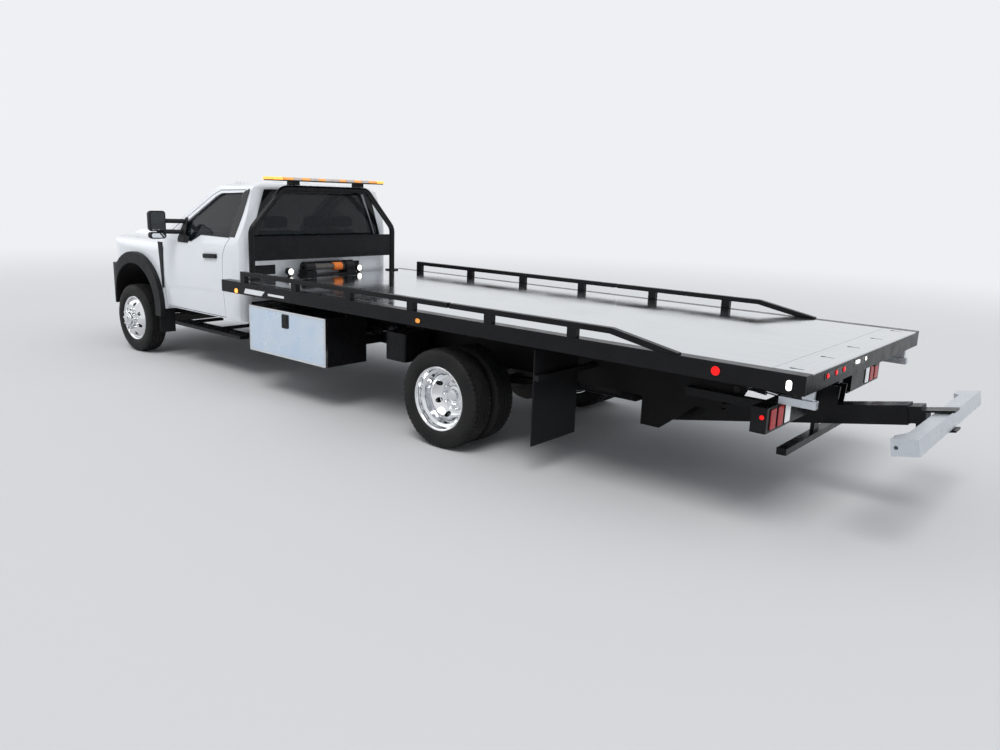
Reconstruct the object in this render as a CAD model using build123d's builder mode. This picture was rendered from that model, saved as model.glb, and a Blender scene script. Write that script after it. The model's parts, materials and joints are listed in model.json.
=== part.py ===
from build123d import *
import os
from math import cos, hypot, radians, sin, sqrt

# A flatbed tow truck with a two-door cab, a sliding and tilting bed and a rear wheel lift.
# Millimetres. Up is +Z, the front of the truck faces -Y and its left side is +X.
# Places along the truck are written as distances behind the front axle, and back() turns them into Y.

# Overall layout
wheelbase = 5207
front_overhang = 973

# Parts that sit on one another are this far apart
seat_gap = 0.3

# Tyres and wheels
tyre_radius = 402
tyre_width = 226
bead_radius = 248
flange_radius = 262
rim_width = 190
rim_wall = 12
disc_offset = 135
disc_thickness = 14
hub_circle = 225
nut_count = 10
nut_radius = 15
nut_height = 34
hand_hole_radius = 21
hand_hole_circle = 372
hand_hole_count = 8
front_tyre_x = 940
dual_spacing = 2 * disc_offset
rear_outer_tyre_x = 1080
rear_inner_tyre_x = rear_outer_tyre_x - dual_spacing
front_cap_radius = 80
front_cap_length = 70
rear_hub_radius = 82
rear_cap_length = 60
axle_height = tyre_radius

# Axles, knuckles and springs
king_pin_x = 800
king_pin_radius = 20
king_pin_length = 200
king_pin_clearance = 0.05
stub_radius = 34
stub_clearance = 0.05
front_beam_drop = 40
front_beam_height = 90
front_beam_width = 84
rear_tube_radius = 66
rear_tube_end = 640
differential_radius = 190
differential_width = 300
gearbox_rear = 1190
shaft_radius = 48
spring_x = 520
front_spring_x = 392
spring_width = 76
spring_pack = 60
front_spring_half = 660
rear_spring_half = 720
spring_rise = 90

# Chassis frame
frame_half_width = 432
rail_flange = 80
rail_web = 9
rail_depth = 230
rail_top = 800
frame_front = -690
frame_rear = wheelbase + 2043
cross_member_height = 120
cross_member_length = 70
tilt_pivot_back = frame_rear + 108
tilt_pivot_z = 755
tilt_pin_radius = 25
pin_clearance = 0.05
ear_thickness = 18
ear_radius = 62
ear_root = 360

# Cab
cab_half_width = 1006
cab_back = 2235
firewall_back = 696
cab_sill_z = 622
floor_z = 850
floor_thickness = 20
wall_thickness = 48
door_thickness = 92
roof_z = 2049
panel_gap = 8
cab_pad_radius = 38
door_front = firewall_back + 12
door_rear = 1893
door_bottom_z = 640
door_corner_z = 1444
door_corner_swing = 82
belt_z = 1480
belt_front_z = 1400
glass_thickness = 6
glass_inset = 24
door_hinge_x = cab_half_width - 40
door_hinge_back = door_front + 62
hinge_pin_radius = 8
door_well_x = cab_half_width - 128
hinge_pin_reach = 30
corner_radius = 130
beside_cab = cab_half_width + 94

# Front end
fender_thickness = 50
hood_thickness = 40
hood_half_width = cab_half_width - 164
hood_edge_z = 1300
arch_back = 60
arch_z = 575
arch_radius = 490
flare_back = 78
flare_z = 595
flare_radius = 604
flare_proud = 58
flare_bottom_z = 500
flare_front_bottom_z = 542
flare_front_edge = -505
guard_back = 640
guard_thickness = 8
guard_bottom_z = 310
guard_inner_x = cab_half_width - 136
grille_half_width = 600
grille_bottom_z = 800
grille_seat = -830
grille_proud = 10
grille_top_z = 1290
grille_bar_count = 6
lamp_outer_x = cab_half_width - 60
lamp_depth = 56
lamp_bottom_z = 980
lamp_top_z = 1262
bumper_bottom_z = 520
bumper_top_z = 770
bumper_depth = 60

# Bed, tilt frame and rails
bed_half_width = 1219
deck_z = 1081
deck_thickness = 8
bed_front = 2290
beam_front = 2225
bed_rear = wheelbase + 2868
deck_joint = 2620
tail_plate_front = bed_rear - 231
plate_gap = 3
key_slot_pitch = 520
key_slot_count = 5
key_slot_front = bed_rear - 165
key_slot_length = 86
key_slot_width = 14
key_hole_radius = 17
beam_depth = 116
beam_width = 100
beam_wall = 8
end_plate_depth = 70
rear_plate_thickness = 20
tilt_rail_depth = 100
tilt_gap = 6
tilt_lug_radius = 48
tilt_member_count = 6
tilt_frame_front = 2560
tilt_frame_rear = tilt_pivot_back + 72
bolster_depth = 60
bolster_width = 60
bolster_count = 12
first_bolster = bed_front + 110
last_bolster = bed_rear - 315
side_rail_width = 50
side_rail_depth = 40
side_rail_top = 1187
side_rail_front = 2555
side_rail_end = bed_rear - 793
side_rail_bend = side_rail_end - 490
side_rail_joint = side_rail_bend - 1457
side_rail_joint_gap = 22
post_length = 76
post_places_from_front = (38, 848, 1603, 2366)
post_places_from_bend = (-1057, -311)

# Headboard, winch and light bar
headboard_back = 2360
headboard_tube_radius = 31
headboard_leg_x = 950
headboard_shoulder_z = 1572
headboard_top_x = 560
headboard_top_z = 1990
headboard_bend = 130
panel_bottom_z = 1262
panel_top_z = 1500
panel_thickness = 12
headboard_foot = 110
headboard_foot_height = 14
light_bar_half = 735
light_bar_width = 250
light_bar_height = 40
light_bar_z = headboard_top_z + headboard_tube_radius + 40
light_bar_foot_x = 430
winch_half = 330
winch_drum_radius = 46
winch_flange_radius = 64
winch_back = 2368
winch_base_thickness = 12
winch_base_half = 76
winch_z = deck_z + 84
winch_end_width = 120
winch_shaft_radius = 20
winch_guide_z = winch_z + 46
winch_guide_radius = 12
work_lamp_x = 470
work_lamp_back = 2318
work_lamp_radius = 40
work_lamp_depth = 52
work_lamp_z = deck_z + 48

# Toolboxes and underbody
toolbox_front = 2626
toolbox_rear = 3806
toolbox_outer_x = 1178
toolbox_inner_x = 700
toolbox_bottom_z = 424
toolbox_top_z = 870
toolbox_wall = 5
toolbox_door_thickness = 24
toolbox_door_gap = 0.3
latch_size = (76, 110)
fuel_tank_half = 330
fuel_tank_front = wheelbase + 533
fuel_tank_rear = wheelbase + 1273
oil_tank_x = 710
oil_tank_back = wheelbase - 837
oil_tank_width = 300
oil_tank_length = 260
step_front = 850
step_rear = 2150
step_z = 430
step_thickness = 36
step_inner_x = cab_half_width - 206
step_outer_x = cab_half_width - 21
flap_back = wheelbase + 948
flap_bottom_z = 229
flap_top_z = 940
flap_inner_x = 640
flap_outer_x = 1190
flap_thickness = 8

# Wheel lift
lift_pivot_back = wheelbase + 1443
lift_pivot_z = 385
lift_pitch = 10.5
lift_pin_radius = 35
boom_width = 150
boom_depth = 130
boom_wall = 9
boom_length = 1740
stage_gap = 0.3
stage_tail = 900
crossbar_along = 1942
crossbar_drop = 40
crossbar_half = 860
crossbar_size = 100
crossbar_end_length = 112
crossbar_end_depth = 50
crossbar_taper = 80
crossbar_bore_radius = 12
crossbar_bore_depth = 70
crossbar_bore_along = -72
head_pin_radius = 28
head_gap = 6
fork_thickness = 14
fork_width = 130
fork_reach = 72
fork_root = 160
hanger_thickness = 20
hanger_half = 80
hanger_length = 400
foot_half = 600
foot_back = lift_pivot_back + 1110
foot_bottom_z = 410
foot_size = 66
foot_height = 46
foot_neck = 28
mast_front = lift_pivot_back + 1125
mast_rear = lift_pivot_back + 1275
mast_top_z = 812
mast_wall = 14
lamp_panel_back = bed_rear - 232
lamp_panel_inner_x = 445
lamp_panel_outer_x = 1130
lamp_panel_bottom_z = 676
lamp_panel_top_z = 834
lamp_panel_depth = 100
lamp_arm_front = frame_rear - 250
lamp_arm_bottom_z = 660
lamp_arm_top_z = 720
lamp_arm_width = 60
lamp_bar_depth = 50

# Cylinders: base pin and rod eye as (distance behind the front axle, height) in the resting pose
tilt_cylinder_x = 540
tilt_cylinder_base = (3000, 600)
tilt_cylinder_eye = (4000, 740)
tilt_barrel_radius = 44
tilt_barrel_length = 860
tilt_cylinder_rod_radius = 24
lift_cylinder_base = (lift_pivot_back + 250, 745)
lift_cylinder_eye = (lift_pivot_back + 910, 655)
lift_barrel_radius = 36
lift_barrel_length = 500
lift_cylinder_rod_radius = 19
cylinder_pin_radius = 18
cylinder_eye_width = 60
running_gap = 5
clevis_thickness = 14

# Arms of the wheel lift, stowed under the tail of the bed
stowed_arm_x = 980
stowed_arm_size = 50
stowed_arm_bottom_z = 846
stowed_arm_front = lamp_panel_back + 8
stowed_arm_rear = bed_rear - 2

# The truck ends at the fork of the wheel lift, and the origin is half way along
lift_slope = radians(lift_pitch)
fork_drop = crossbar_drop + crossbar_size / 2 + head_gap + fork_thickness
rear_reach = lift_pivot_back + (crossbar_along + fork_reach) * cos(lift_slope) + fork_drop * sin(lift_slope)
front_axle_y = (front_overhang - rear_reach) / 2


def back(distance):
    return front_axle_y + distance


def along_lift(distance, rise):
    # Y and Z of a point at a distance along the wheel lift's boom and a rise above its middle
    y = back(lift_pivot_back) + distance * cos(lift_slope) - rise * sin(lift_slope)
    z = lift_pivot_z + distance * sin(lift_slope) + rise * cos(lift_slope)
    return y, z


def span(x_range, y_range, z_range, mode=Mode.ADD):
    # A box between three pairs of limits
    size = [high - low for low, high in (x_range, y_range, z_range)]
    middle = [(high + low) / 2 for low, high in (x_range, y_range, z_range)]
    with Locations(tuple(middle)):
        Box(*size, mode=mode)


def rod_x(x_range, y, z, radius, mode=Mode.ADD):
    # A round bar that lies across the truck
    with Locations(Location(((x_range[0] + x_range[1]) / 2, y, z), (0, 90, 0))):
        Cylinder(radius, x_range[1] - x_range[0], mode=mode)


def mirrored(piece):
    # The same piece on the truck's other side
    with BuildPart() as other:
        mirror(piece.part, about=Plane.YZ)
    return other


# Tyre section from the bead up to the tread: half width, radius
shoulder = 18
bead_half = rim_width / 2 - rim_wall - seat_gap
tyre_section = [
    (bead_half, bead_radius + seat_gap),
    (bead_half, flange_radius + 4),
    (tyre_width / 2, flange_radius + 4),
    (tyre_width / 2, tyre_radius - shoulder),
    (tyre_width / 2 - shoulder, tyre_radius),
]


def tyre(center_x, axle_y):
    with BuildPart() as piece:
        with BuildSketch(Plane.XY.offset(axle_height)):
            with BuildLine():
                outline = [(center_x + across, axle_y + radius) for across, radius in tyre_section]
                section = reversed(tyre_section)
                inner_half = [(center_x - across, axle_y + radius) for across, radius in section]
                Polyline(*outline, *inner_half, close=True)
            make_face()
        revolve(axis=Axis((0, axle_y, axle_height), (1, 0, 0)))
    return piece


def wheel(center_x, axle_y, disc_side, cap_radius, cap_length, hub_inner_x, nuts=nut_count):
    # disc_side is +1 where the disc bulges outward from the rim and -1 where it is deep inside;
    # the inner one of twin wheels has no nuts, because those of the outer one hold both
    half = rim_width / 2
    face_x = center_x + disc_side * disc_offset
    with BuildPart() as piece:
        with BuildSketch(Plane.XY.offset(axle_height)):
            with BuildLine():
                Polyline(
                    (center_x - half, axle_y + flange_radius),
                    (center_x - half + rim_wall, axle_y + flange_radius),
                    (center_x - half + rim_wall, axle_y + bead_radius),
                    (center_x + half - rim_wall, axle_y + bead_radius),
                    (center_x + half - rim_wall, axle_y + flange_radius),
                    (center_x + half, axle_y + flange_radius),
                    (center_x + half, axle_y + bead_radius - rim_wall),
                    (center_x - half, axle_y + bead_radius - rim_wall),
                    close=True,
                )
            make_face()
            with BuildLine():
                Polyline(
                    (center_x + disc_side * 52, axle_y + bead_radius - rim_wall + 2),
                    (center_x + disc_side * 70, axle_y + bead_radius - rim_wall + 2),
                    (face_x, axle_y + 158),
                    (face_x, axle_y + 60),
                    (face_x - disc_side * disc_thickness, axle_y + 60),
                    (face_x - disc_side * disc_thickness, axle_y + 152),
                    close=True,
                )
            make_face()
        revolve(axis=Axis((0, axle_y, axle_height), (1, 0, 0)))
        with BuildSketch(Plane.YZ.offset(center_x)):
            with Locations((axle_y, axle_height)):
                with PolarLocations(hand_hole_circle / 2, hand_hole_count, start_angle=22.5):
                    Circle(hand_hole_radius)
        extrude(amount=disc_side * (disc_offset + 5), mode=Mode.SUBTRACT)
        if nuts:
            with BuildSketch(Plane.YZ.offset(face_x - disc_side * disc_thickness)):
                with Locations((axle_y, axle_height)):
                    with PolarLocations(hub_circle / 2, nuts):
                        Circle(nut_radius)
            extrude(amount=disc_thickness + nut_height)
        outer = face_x + cap_length
        rod_x((hub_inner_x, outer), axle_y, axle_height, cap_radius)
    return piece


with BuildPart() as front_wheel_left:
    add(wheel(front_tyre_x, back(0), 1, front_cap_radius, front_cap_length, king_pin_x + 72).part)
    rod_x(
        (king_pin_x + 50, front_tyre_x + disc_offset - 30),
        back(0),
        axle_height,
        stub_radius + stub_clearance,
        mode=Mode.SUBTRACT,
    )
front_wheel_right = mirrored(front_wheel_left)
front_tyre_left = tyre(front_tyre_x, back(0))
front_tyre_right = mirrored(front_tyre_left)

with BuildPart() as rear_wheels_left:
    add(wheel(rear_outer_tyre_x, back(wheelbase), -1, rear_hub_radius, rear_cap_length, 700).part)
    add(wheel(rear_inner_tyre_x, back(wheelbase), 1, rear_hub_radius, 0, 700, nuts=0).part)
    rod_x(
        (rear_tube_end + 20, rear_outer_tyre_x - disc_offset - 20),
        back(wheelbase),
        axle_height,
        stub_radius + stub_clearance,
        mode=Mode.SUBTRACT,
    )
rear_wheels_right = mirrored(rear_wheels_left)


def rear_tyres():
    with BuildPart() as pair:
        add(tyre(rear_outer_tyre_x, back(wheelbase)).part)
        add(tyre(rear_inner_tyre_x, back(wheelbase)).part)
    return pair


rear_tyres_left = rear_tyres()
rear_tyres_right = mirrored(rear_tyres_left)

# Chassis frame: two channel rails, cross members, hangers, mounts and the ears of the tilt pivot
rail_bottom = rail_top - rail_depth
front_spring_seat = axle_height - front_beam_drop + front_beam_height / 2 + seat_gap
rear_spring_seat = axle_height + rear_tube_radius + seat_gap
eye_height = spring_rise + 26
with BuildPart() as chassis_frame:
    with BuildSketch(Plane.XZ.offset(-back(frame_front))):
        with Locations((frame_half_width - rail_flange / 2, rail_top - rail_depth / 2)):
            Rectangle(rail_flange, rail_depth)
        with Locations((frame_half_width - rail_web - rail_flange / 2, rail_top - rail_depth / 2)):
            Rectangle(rail_flange, rail_depth - 2 * rail_web, mode=Mode.SUBTRACT)
    extrude(amount=-(frame_rear - frame_front))
    # Ears that carry the tilt pivot behind the end of the rail
    ear_x = (frame_half_width, frame_half_width + ear_thickness)
    span(ear_x, (back(frame_rear - ear_root), back(tilt_pivot_back)), (rail_top - 110, rail_top - 4))
    rod_x(ear_x, back(tilt_pivot_back), tilt_pivot_z, ear_radius)
    rod_x(ear_x, back(tilt_pivot_back), tilt_pivot_z, tilt_pin_radius + pin_clearance, mode=Mode.SUBTRACT)
    # Spring hangers, under the rail in front and beside it at the back
    front_spring_x_range = (front_spring_x - spring_width / 2, front_spring_x + spring_width / 2)
    for place in (-front_spring_half, front_spring_half):
        places = (back(place - 34), back(place + 34))
        span(front_spring_x_range, places, (front_spring_seat + eye_height + seat_gap, rail_bottom + 2))
    for place in (wheelbase - rear_spring_half, wheelbase + rear_spring_half):
        places = (back(place - 34), back(place + 34))
        hanger_x = (frame_half_width - 1, spring_x + spring_width / 2)
        span(
            hanger_x,
            places,
            (rear_spring_seat + eye_height + seat_gap, rear_spring_seat + eye_height + 60),
        )
    # Pads under the cab
    pad_height = floor_z - floor_thickness - seat_gap - rail_top
    for place in (firewall_back + 104, cab_back - 145):
        with Locations((frame_half_width - rail_flange / 2, back(place), rail_top + pad_height / 2)):
            Cylinder(cab_pad_radius, pad_height)
    # Base of the tilt cylinder
    base_y = back(tilt_cylinder_base[0])
    bracket_x = (frame_half_width - 1, tilt_cylinder_x - tilt_barrel_radius - running_gap)
    span(bracket_x, (base_y - 40, base_y + 40), (tilt_cylinder_base[1] - 26, tilt_cylinder_base[1] + 50))
    base_pin_x = (bracket_x[1] - 1, tilt_cylinder_x + cylinder_eye_width / 2 + 8)
    rod_x(base_pin_x, base_y, tilt_cylinder_base[1], cylinder_pin_radius)
    # Hanger plates that carry the pivot of the wheel lift
    plate_x = (frame_half_width - rail_flange - hanger_thickness, frame_half_width - rail_flange)
    hanger_front = back(lift_pivot_back - hanger_half)
    hanger_rear = back(lift_pivot_back + hanger_length)
    with BuildSketch(Plane.YZ.offset(plate_x[0])):
        with BuildLine():
            Polyline(
                (hanger_front, rail_bottom + rail_web),
                (hanger_front, lift_pivot_z - 60),
                (back(lift_pivot_back + hanger_half), lift_pivot_z - 60),
                (hanger_rear, rail_bottom + rail_web),
                close=True,
            )
        make_face()
    extrude(amount=hanger_thickness)
    span(
        (plate_x[0], frame_half_width - 2),
        (hanger_front, hanger_rear),
        (rail_bottom, rail_bottom + rail_web),
    )
    mirror(about=Plane.YZ)
    rod_x((-plate_x[1] + 1, plate_x[1] - 1), back(lift_pivot_back), lift_pivot_z, lift_pin_radius)
    inner_x = frame_half_width - rail_web
    front_members = (-560, 1250, 2450, 3700)
    rear_members = (wheelbase + 443, wheelbase + 1293, lift_cylinder_base[0] - 120)
    for place in front_members + rear_members:
        member_top = rail_top - rail_web - 2
        span(
            (-inner_x, inner_x),
            (back(place), back(place + cross_member_length)),
            (member_top - cross_member_height, member_top),
        )
    # Clevis for the base of the lift cylinder
    clevis_half = lift_barrel_radius + running_gap + clevis_thickness
    for side in (-1, 1):
        clevis_x = sorted((side * (lift_barrel_radius + running_gap), side * clevis_half))
        places = (back(rear_members[-1] + cross_member_length - 1), back(lift_cylinder_base[0] + 34))
        span(clevis_x, places, (lift_cylinder_base[1] - 36, lift_cylinder_base[1] + 36))
    rod_x(
        (-clevis_half, clevis_half),
        back(lift_cylinder_base[0]),
        lift_cylinder_base[1],
        cylinder_pin_radius,
    )
    # Radiator support behind the grille
    support_x = grille_half_width - 20
    span((-support_x, support_x), (back(grille_seat + seat_gap), back(grille_seat + 30)), (830, 1250))
    for side in (-1, 1):
        post_x = sorted((side * (frame_half_width - rail_flange + 2), side * (frame_half_width - 12)))
        span(post_x, (back(grille_seat + 15), back(frame_front + 10)), (700, 840))

web_seat = frame_half_width - rail_web - seat_gap
with BuildPart() as engine_block:
    span((-290, 290), (back(-420), back(430)), (600, 1180))
    span((-190, 190), (back(429), back(gearbox_rear)), (560, 810))
    for side in (-1, 1):
        mount_x = sorted((side * 289, side * web_seat))
        span(mount_x, (back(-60), back(60)), (640, 700))
    span((-web_seat, web_seat), (back(gearbox_rear - 210), back(gearbox_rear - 140)), (585, 620))

with BuildPart() as axles:
    # Front beam with a boss for each king pin
    beam_z = axle_height - front_beam_drop
    span(
        (-king_pin_x + 60, king_pin_x - 60),
        (back(-front_beam_width / 2), back(front_beam_width / 2)),
        (beam_z - front_beam_height / 2, beam_z + front_beam_height / 2),
    )
    for side in (-1, 1):
        ends = sorted((side * (king_pin_x - 20), side * (king_pin_x - 120)))
        span(
            ends,
            (back(-40), back(40)),
            (axle_height - front_beam_height / 2, axle_height + front_beam_height / 2),
        )
        with Locations((side * king_pin_x, back(0), axle_height)):
            Cylinder(46, front_beam_height)
            Cylinder(king_pin_radius + king_pin_clearance, front_beam_height, mode=Mode.SUBTRACT)
    # Rear tube with the round housing of the differential
    rod_x((-rear_tube_end, rear_tube_end), back(wheelbase), axle_height, rear_tube_radius)
    with BuildSketch(Plane.XY.offset(axle_height)):
        with BuildLine():
            Polyline(
                (-differential_width / 2, back(wheelbase)),
                (-differential_width / 2 + 40, back(wheelbase) + differential_radius - 30),
                (-40, back(wheelbase) + differential_radius),
                (40, back(wheelbase) + differential_radius),
                (differential_width / 2 - 40, back(wheelbase) + differential_radius - 30),
                (differential_width / 2, back(wheelbase)),
                close=True,
            )
        make_face()
    revolve(axis=Axis((0, back(wheelbase), axle_height), (1, 0, 0)))
    shaft_end = rear_outer_tyre_x - disc_offset - 30
    rod_x((-shaft_end, shaft_end), back(wheelbase), axle_height, stub_radius)


def knuckle():
    # A fork above and below the beam's end, the king pin through it and the stub for the wheel
    with BuildPart() as piece:
        with Locations((king_pin_x, back(0), axle_height)):
            Cylinder(king_pin_radius, king_pin_length)
        arm_low = front_beam_height / 2 + 1
        for side in (-1, 1):
            arm_z = sorted((axle_height + side * arm_low, axle_height + side * king_pin_length / 2))
            with Locations((king_pin_x, back(0), sum(arm_z) / 2)):
                Cylinder(38, arm_z[1] - arm_z[0])
            span((king_pin_x, king_pin_x + 66), (back(-36), back(36)), arm_z)
        span((king_pin_x + 52, king_pin_x + 66), (back(-36), back(36)), (axle_height - 80, axle_height + 80))
        rod_x((king_pin_x + 60, front_tyre_x + disc_offset - 32), back(0), axle_height, stub_radius)
    return piece


knuckle_left = knuckle()
knuckle_right = mirrored(knuckle_left)


def springs(x, middle, half, seat_z):
    # A leaf pack: one arc through the axle seat with an eye at each end
    with BuildPart() as piece:
        with BuildSketch(Plane.YZ.offset(x - spring_width / 2)):
            with BuildLine():
                ThreePointArc(
                    (back(middle - half), seat_z + spring_rise),
                    (back(middle), seat_z),
                    (back(middle + half), seat_z + spring_rise),
                )
                Line(
                    (back(middle + half), seat_z + spring_rise),
                    (back(middle + half), seat_z + spring_rise + 26),
                )
                ThreePointArc(
                    (back(middle + half), seat_z + spring_rise + 26),
                    (back(middle), seat_z + spring_pack),
                    (back(middle - half), seat_z + spring_rise + 26),
                )
                Line(
                    (back(middle - half), seat_z + spring_rise + 26),
                    (back(middle - half), seat_z + spring_rise),
                )
            make_face()
        extrude(amount=spring_width)
        mirror(about=Plane.YZ)
    return piece


with BuildPart() as leaf_springs:
    add(springs(front_spring_x, 0, front_spring_half, front_spring_seat).part)
    add(springs(spring_x, wheelbase, rear_spring_half, rear_spring_seat).part)

# Drive shaft between the gearbox and the differential
shaft_drop = 600 - axle_height
shaft_run = wheelbase - differential_radius - gearbox_rear
shaft_front = (gearbox_rear + seat_gap + shaft_radius * shaft_drop / shaft_run, 600)
shaft_rear = (wheelbase - differential_radius - 2, axle_height)
shaft_length = hypot(shaft_rear[0] - shaft_front[0], shaft_rear[1] - shaft_front[1])
shaft_plane = Plane(
    origin=(0, back(shaft_front[0]), shaft_front[1]),
    x_dir=(1, 0, 0),
    z_dir=(0, shaft_rear[0] - shaft_front[0], shaft_rear[1] - shaft_front[1]),
)
with BuildPart() as drive_shaft:
    with BuildSketch(shaft_plane):
        Circle(shaft_radius)
    extrude(amount=shaft_length)

with BuildPart() as exhaust:
    pipe_x = -245
    pipe_z = 470
    with BuildSketch(Plane.XZ.offset(-back(1500))):
        with Locations((pipe_x, pipe_z)):
            Ellipse(110, 85)
    extrude(amount=-900)
    with BuildSketch(Plane.XZ.offset(-back(2399))):
        with Locations((pipe_x, pipe_z)):
            Circle(46)
    extrude(amount=-1800)
    hanger_top = rail_top - rail_web - 2 - cross_member_height - seat_gap
    for place in (2470, 3720):
        span((pipe_x - 15, pipe_x + 15), (back(place), back(place + 30)), (pipe_z + 30, hanger_top))

with BuildPart() as tanks:
    span((-fuel_tank_half, fuel_tank_half), (back(fuel_tank_front), back(fuel_tank_rear)), (470, 660))
    fillet(tanks.edges().filter_by(Axis.Y), 50)
    for side in (-1, 1):
        lug_x = sorted((side * (fuel_tank_half - 1), side * web_seat))
        for place in (fuel_tank_front + 120, fuel_tank_rear - 180):
            span(lug_x, (back(place), back(place + 50)), (590, 620))
    # Hydraulic tank beside the left rail, ahead of the rear tyres
    with BuildSketch(Plane.XY.offset(540)):
        with Locations((oil_tank_x, back(oil_tank_back))):
            RectangleRounded(oil_tank_width, oil_tank_length, 30)
    extrude(amount=250)
    arm_end = oil_tank_x - oil_tank_width / 2 + 1
    span(
        (frame_half_width + seat_gap, arm_end),
        (back(oil_tank_back - 70), back(oil_tank_back + 70)),
        (640, 720),
    )


def rounded(sketch, corners, inset):
    # A closed outline from corners given as (across, up, corner radius), moved inwards by inset
    Polygon(*[(across, up) for across, up, radius in corners], align=None)
    if inset:
        offset(amount=-inset, kind=Kind.INTERSECTION, mode=Mode.REPLACE)
    for across, up, radius in corners:
        if radius > inset:
            fillet(sketch.vertices().sort_by_distance((across, up, 0))[0], radius - inset)


def both_sides(corners):
    # Corners of the left half, from the bottom up, followed by the right half's from the top down
    return corners + [(-across, up, radius) for across, up, radius in reversed(corners)]


# Cab outline from the side (place, height, corner radius)
# and from the front (half width, height, corner radius)
cab_side = [
    (back(cab_back), cab_sill_z - 40, 0),
    (back(firewall_back), cab_sill_z - 40, 0),
    (back(firewall_back), 1436, 0),
    (back(1560), roof_z - 67, 500),
    (back(1830), roof_z - 4, 900),
    (back(cab_back - 35), roof_z - 8, 90),
    (back(cab_back), 1700, 0),
]
cab_front = [
    (cab_half_width - 60, cab_sill_z - 200, 0),
    (cab_half_width - 14, cab_sill_z + 60, 0),
    (cab_half_width, 1000, 0),
    (cab_half_width - 6, 1380, 0),
    (cab_half_width - 26, belt_z, 0),
    (cab_half_width - 184, roof_z - 59, 110),
    (cab_half_width - 356, roof_z - 6, 300),
]
# The same from above: the corners of the back wall are round
cab_plan = [
    (cab_half_width + 2, back(firewall_back - 300), 0),
    (cab_half_width + 2, back(cab_back), corner_radius),
]


def cab_block(side_inset, front_inset):
    with BuildPart() as block:
        with BuildSketch(Plane.YZ) as side:
            rounded(side, cab_side, side_inset)
        extrude(amount=2 * cab_half_width, both=True)
        with BuildSketch(Plane.XZ.offset(-back(0))) as front:
            rounded(front, both_sides(cab_front), front_inset)
        extrude(amount=-6 * cab_half_width, mode=Mode.INTERSECT)
        with BuildSketch(Plane.XY) as plan:
            rounded(plan, both_sides(cab_plan), side_inset)
        extrude(amount=2 * roof_z, mode=Mode.INTERSECT)
    return block.part


def prism_x(points, x_range):
    # A side-view outline, in distances behind the front axle and heights, carried across the truck
    with BuildPart() as prism:
        with BuildSketch(Plane.YZ.offset(x_range[0])):
            with BuildLine():
                Polyline(*[(back(place), z) for place, z in points], close=True)
            make_face()
        extrude(amount=x_range[1] - x_range[0])
    return prism.part


def prism_y(points, places):
    # A front-view outline carried along the truck
    with BuildPart() as prism:
        with BuildSketch(Plane.XZ.offset(-back(places[0]))):
            with BuildLine():
                Polyline(*points, close=True)
            make_face()
        extrude(amount=-(places[1] - places[0]))
    return prism.part


cab_outer = cab_block(0, 0)
door_inner = cab_block(0, door_thickness)
glass_outer = cab_block(glass_inset, glass_inset)
glass_inner = cab_block(glass_inset + glass_thickness, glass_inset + glass_thickness)
with BuildPart() as cabin:
    add(cab_block(wall_thickness, wall_thickness))
    span(
        (-beside_cab, beside_cab),
        (back(firewall_back), back(cab_back)),
        (floor_z, roof_z),
        mode=Mode.INTERSECT,
    )

# Door outline: upright front, sill, curved shut line and the slope beside the screen
door_outline = (
    (door_front, door_bottom_z),
    (door_front, door_corner_z),
    (800, door_corner_z),
    (1540, 1892),
    (1660, 1942),
    (2106, 1956),
    (2034, 1490),
    (1956, 1400),
    (door_rear + 8, 1290),
    (door_rear, 1150),
    (door_rear + 10, door_bottom_z),
)
door_opening = (
    (door_front - 3 * panel_gap, door_bottom_z - panel_gap),
    (door_front - 3 * panel_gap, door_corner_z + 6),
    (792, door_corner_z + 6),
    (1536, 1900),
    (1658, 1950),
    (2116, 1964),
    (2043, 1487),
    (1963, 1395),
    (door_rear + 16, 1288),
    (door_rear + 8, 1150),
    (door_rear + 18, door_bottom_z - panel_gap),
)
window_outline = (
    (1010, belt_front_z + 10),
    (1086, 1570),
    (1590, 1880),
    (1680, 1916),
    (2078, 1932),
    (2006, belt_z),
    (1480, belt_z),
    (1300, belt_front_z),
    (1030, belt_front_z),
)


def pane(low_half, low_z, high_half, high_z):
    return ((-low_half, low_z), (low_half, low_z), (high_half, high_z), (-high_half, high_z))


screen_outline = pane(cab_half_width - 186, 1452, cab_half_width - 286, 1950)
rear_window_outline = pane(cab_half_width - 206, 1492, cab_half_width - 386, 1952)
screen_places = (firewall_back - 150, 1700)
rear_window_places = (cab_back - 180, cab_back + 160)
door_inner_limit = cab_half_width - 261

with BuildPart() as upper_opening:
    add(prism_x(door_opening, (cab_half_width - 406, beside_cab)))
    over_belt = (back(door_hinge_back + 10), back(cab_back))
    span((cab_half_width - 406, beside_cab), over_belt, (1380, roof_z), mode=Mode.INTERSECT)

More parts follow.
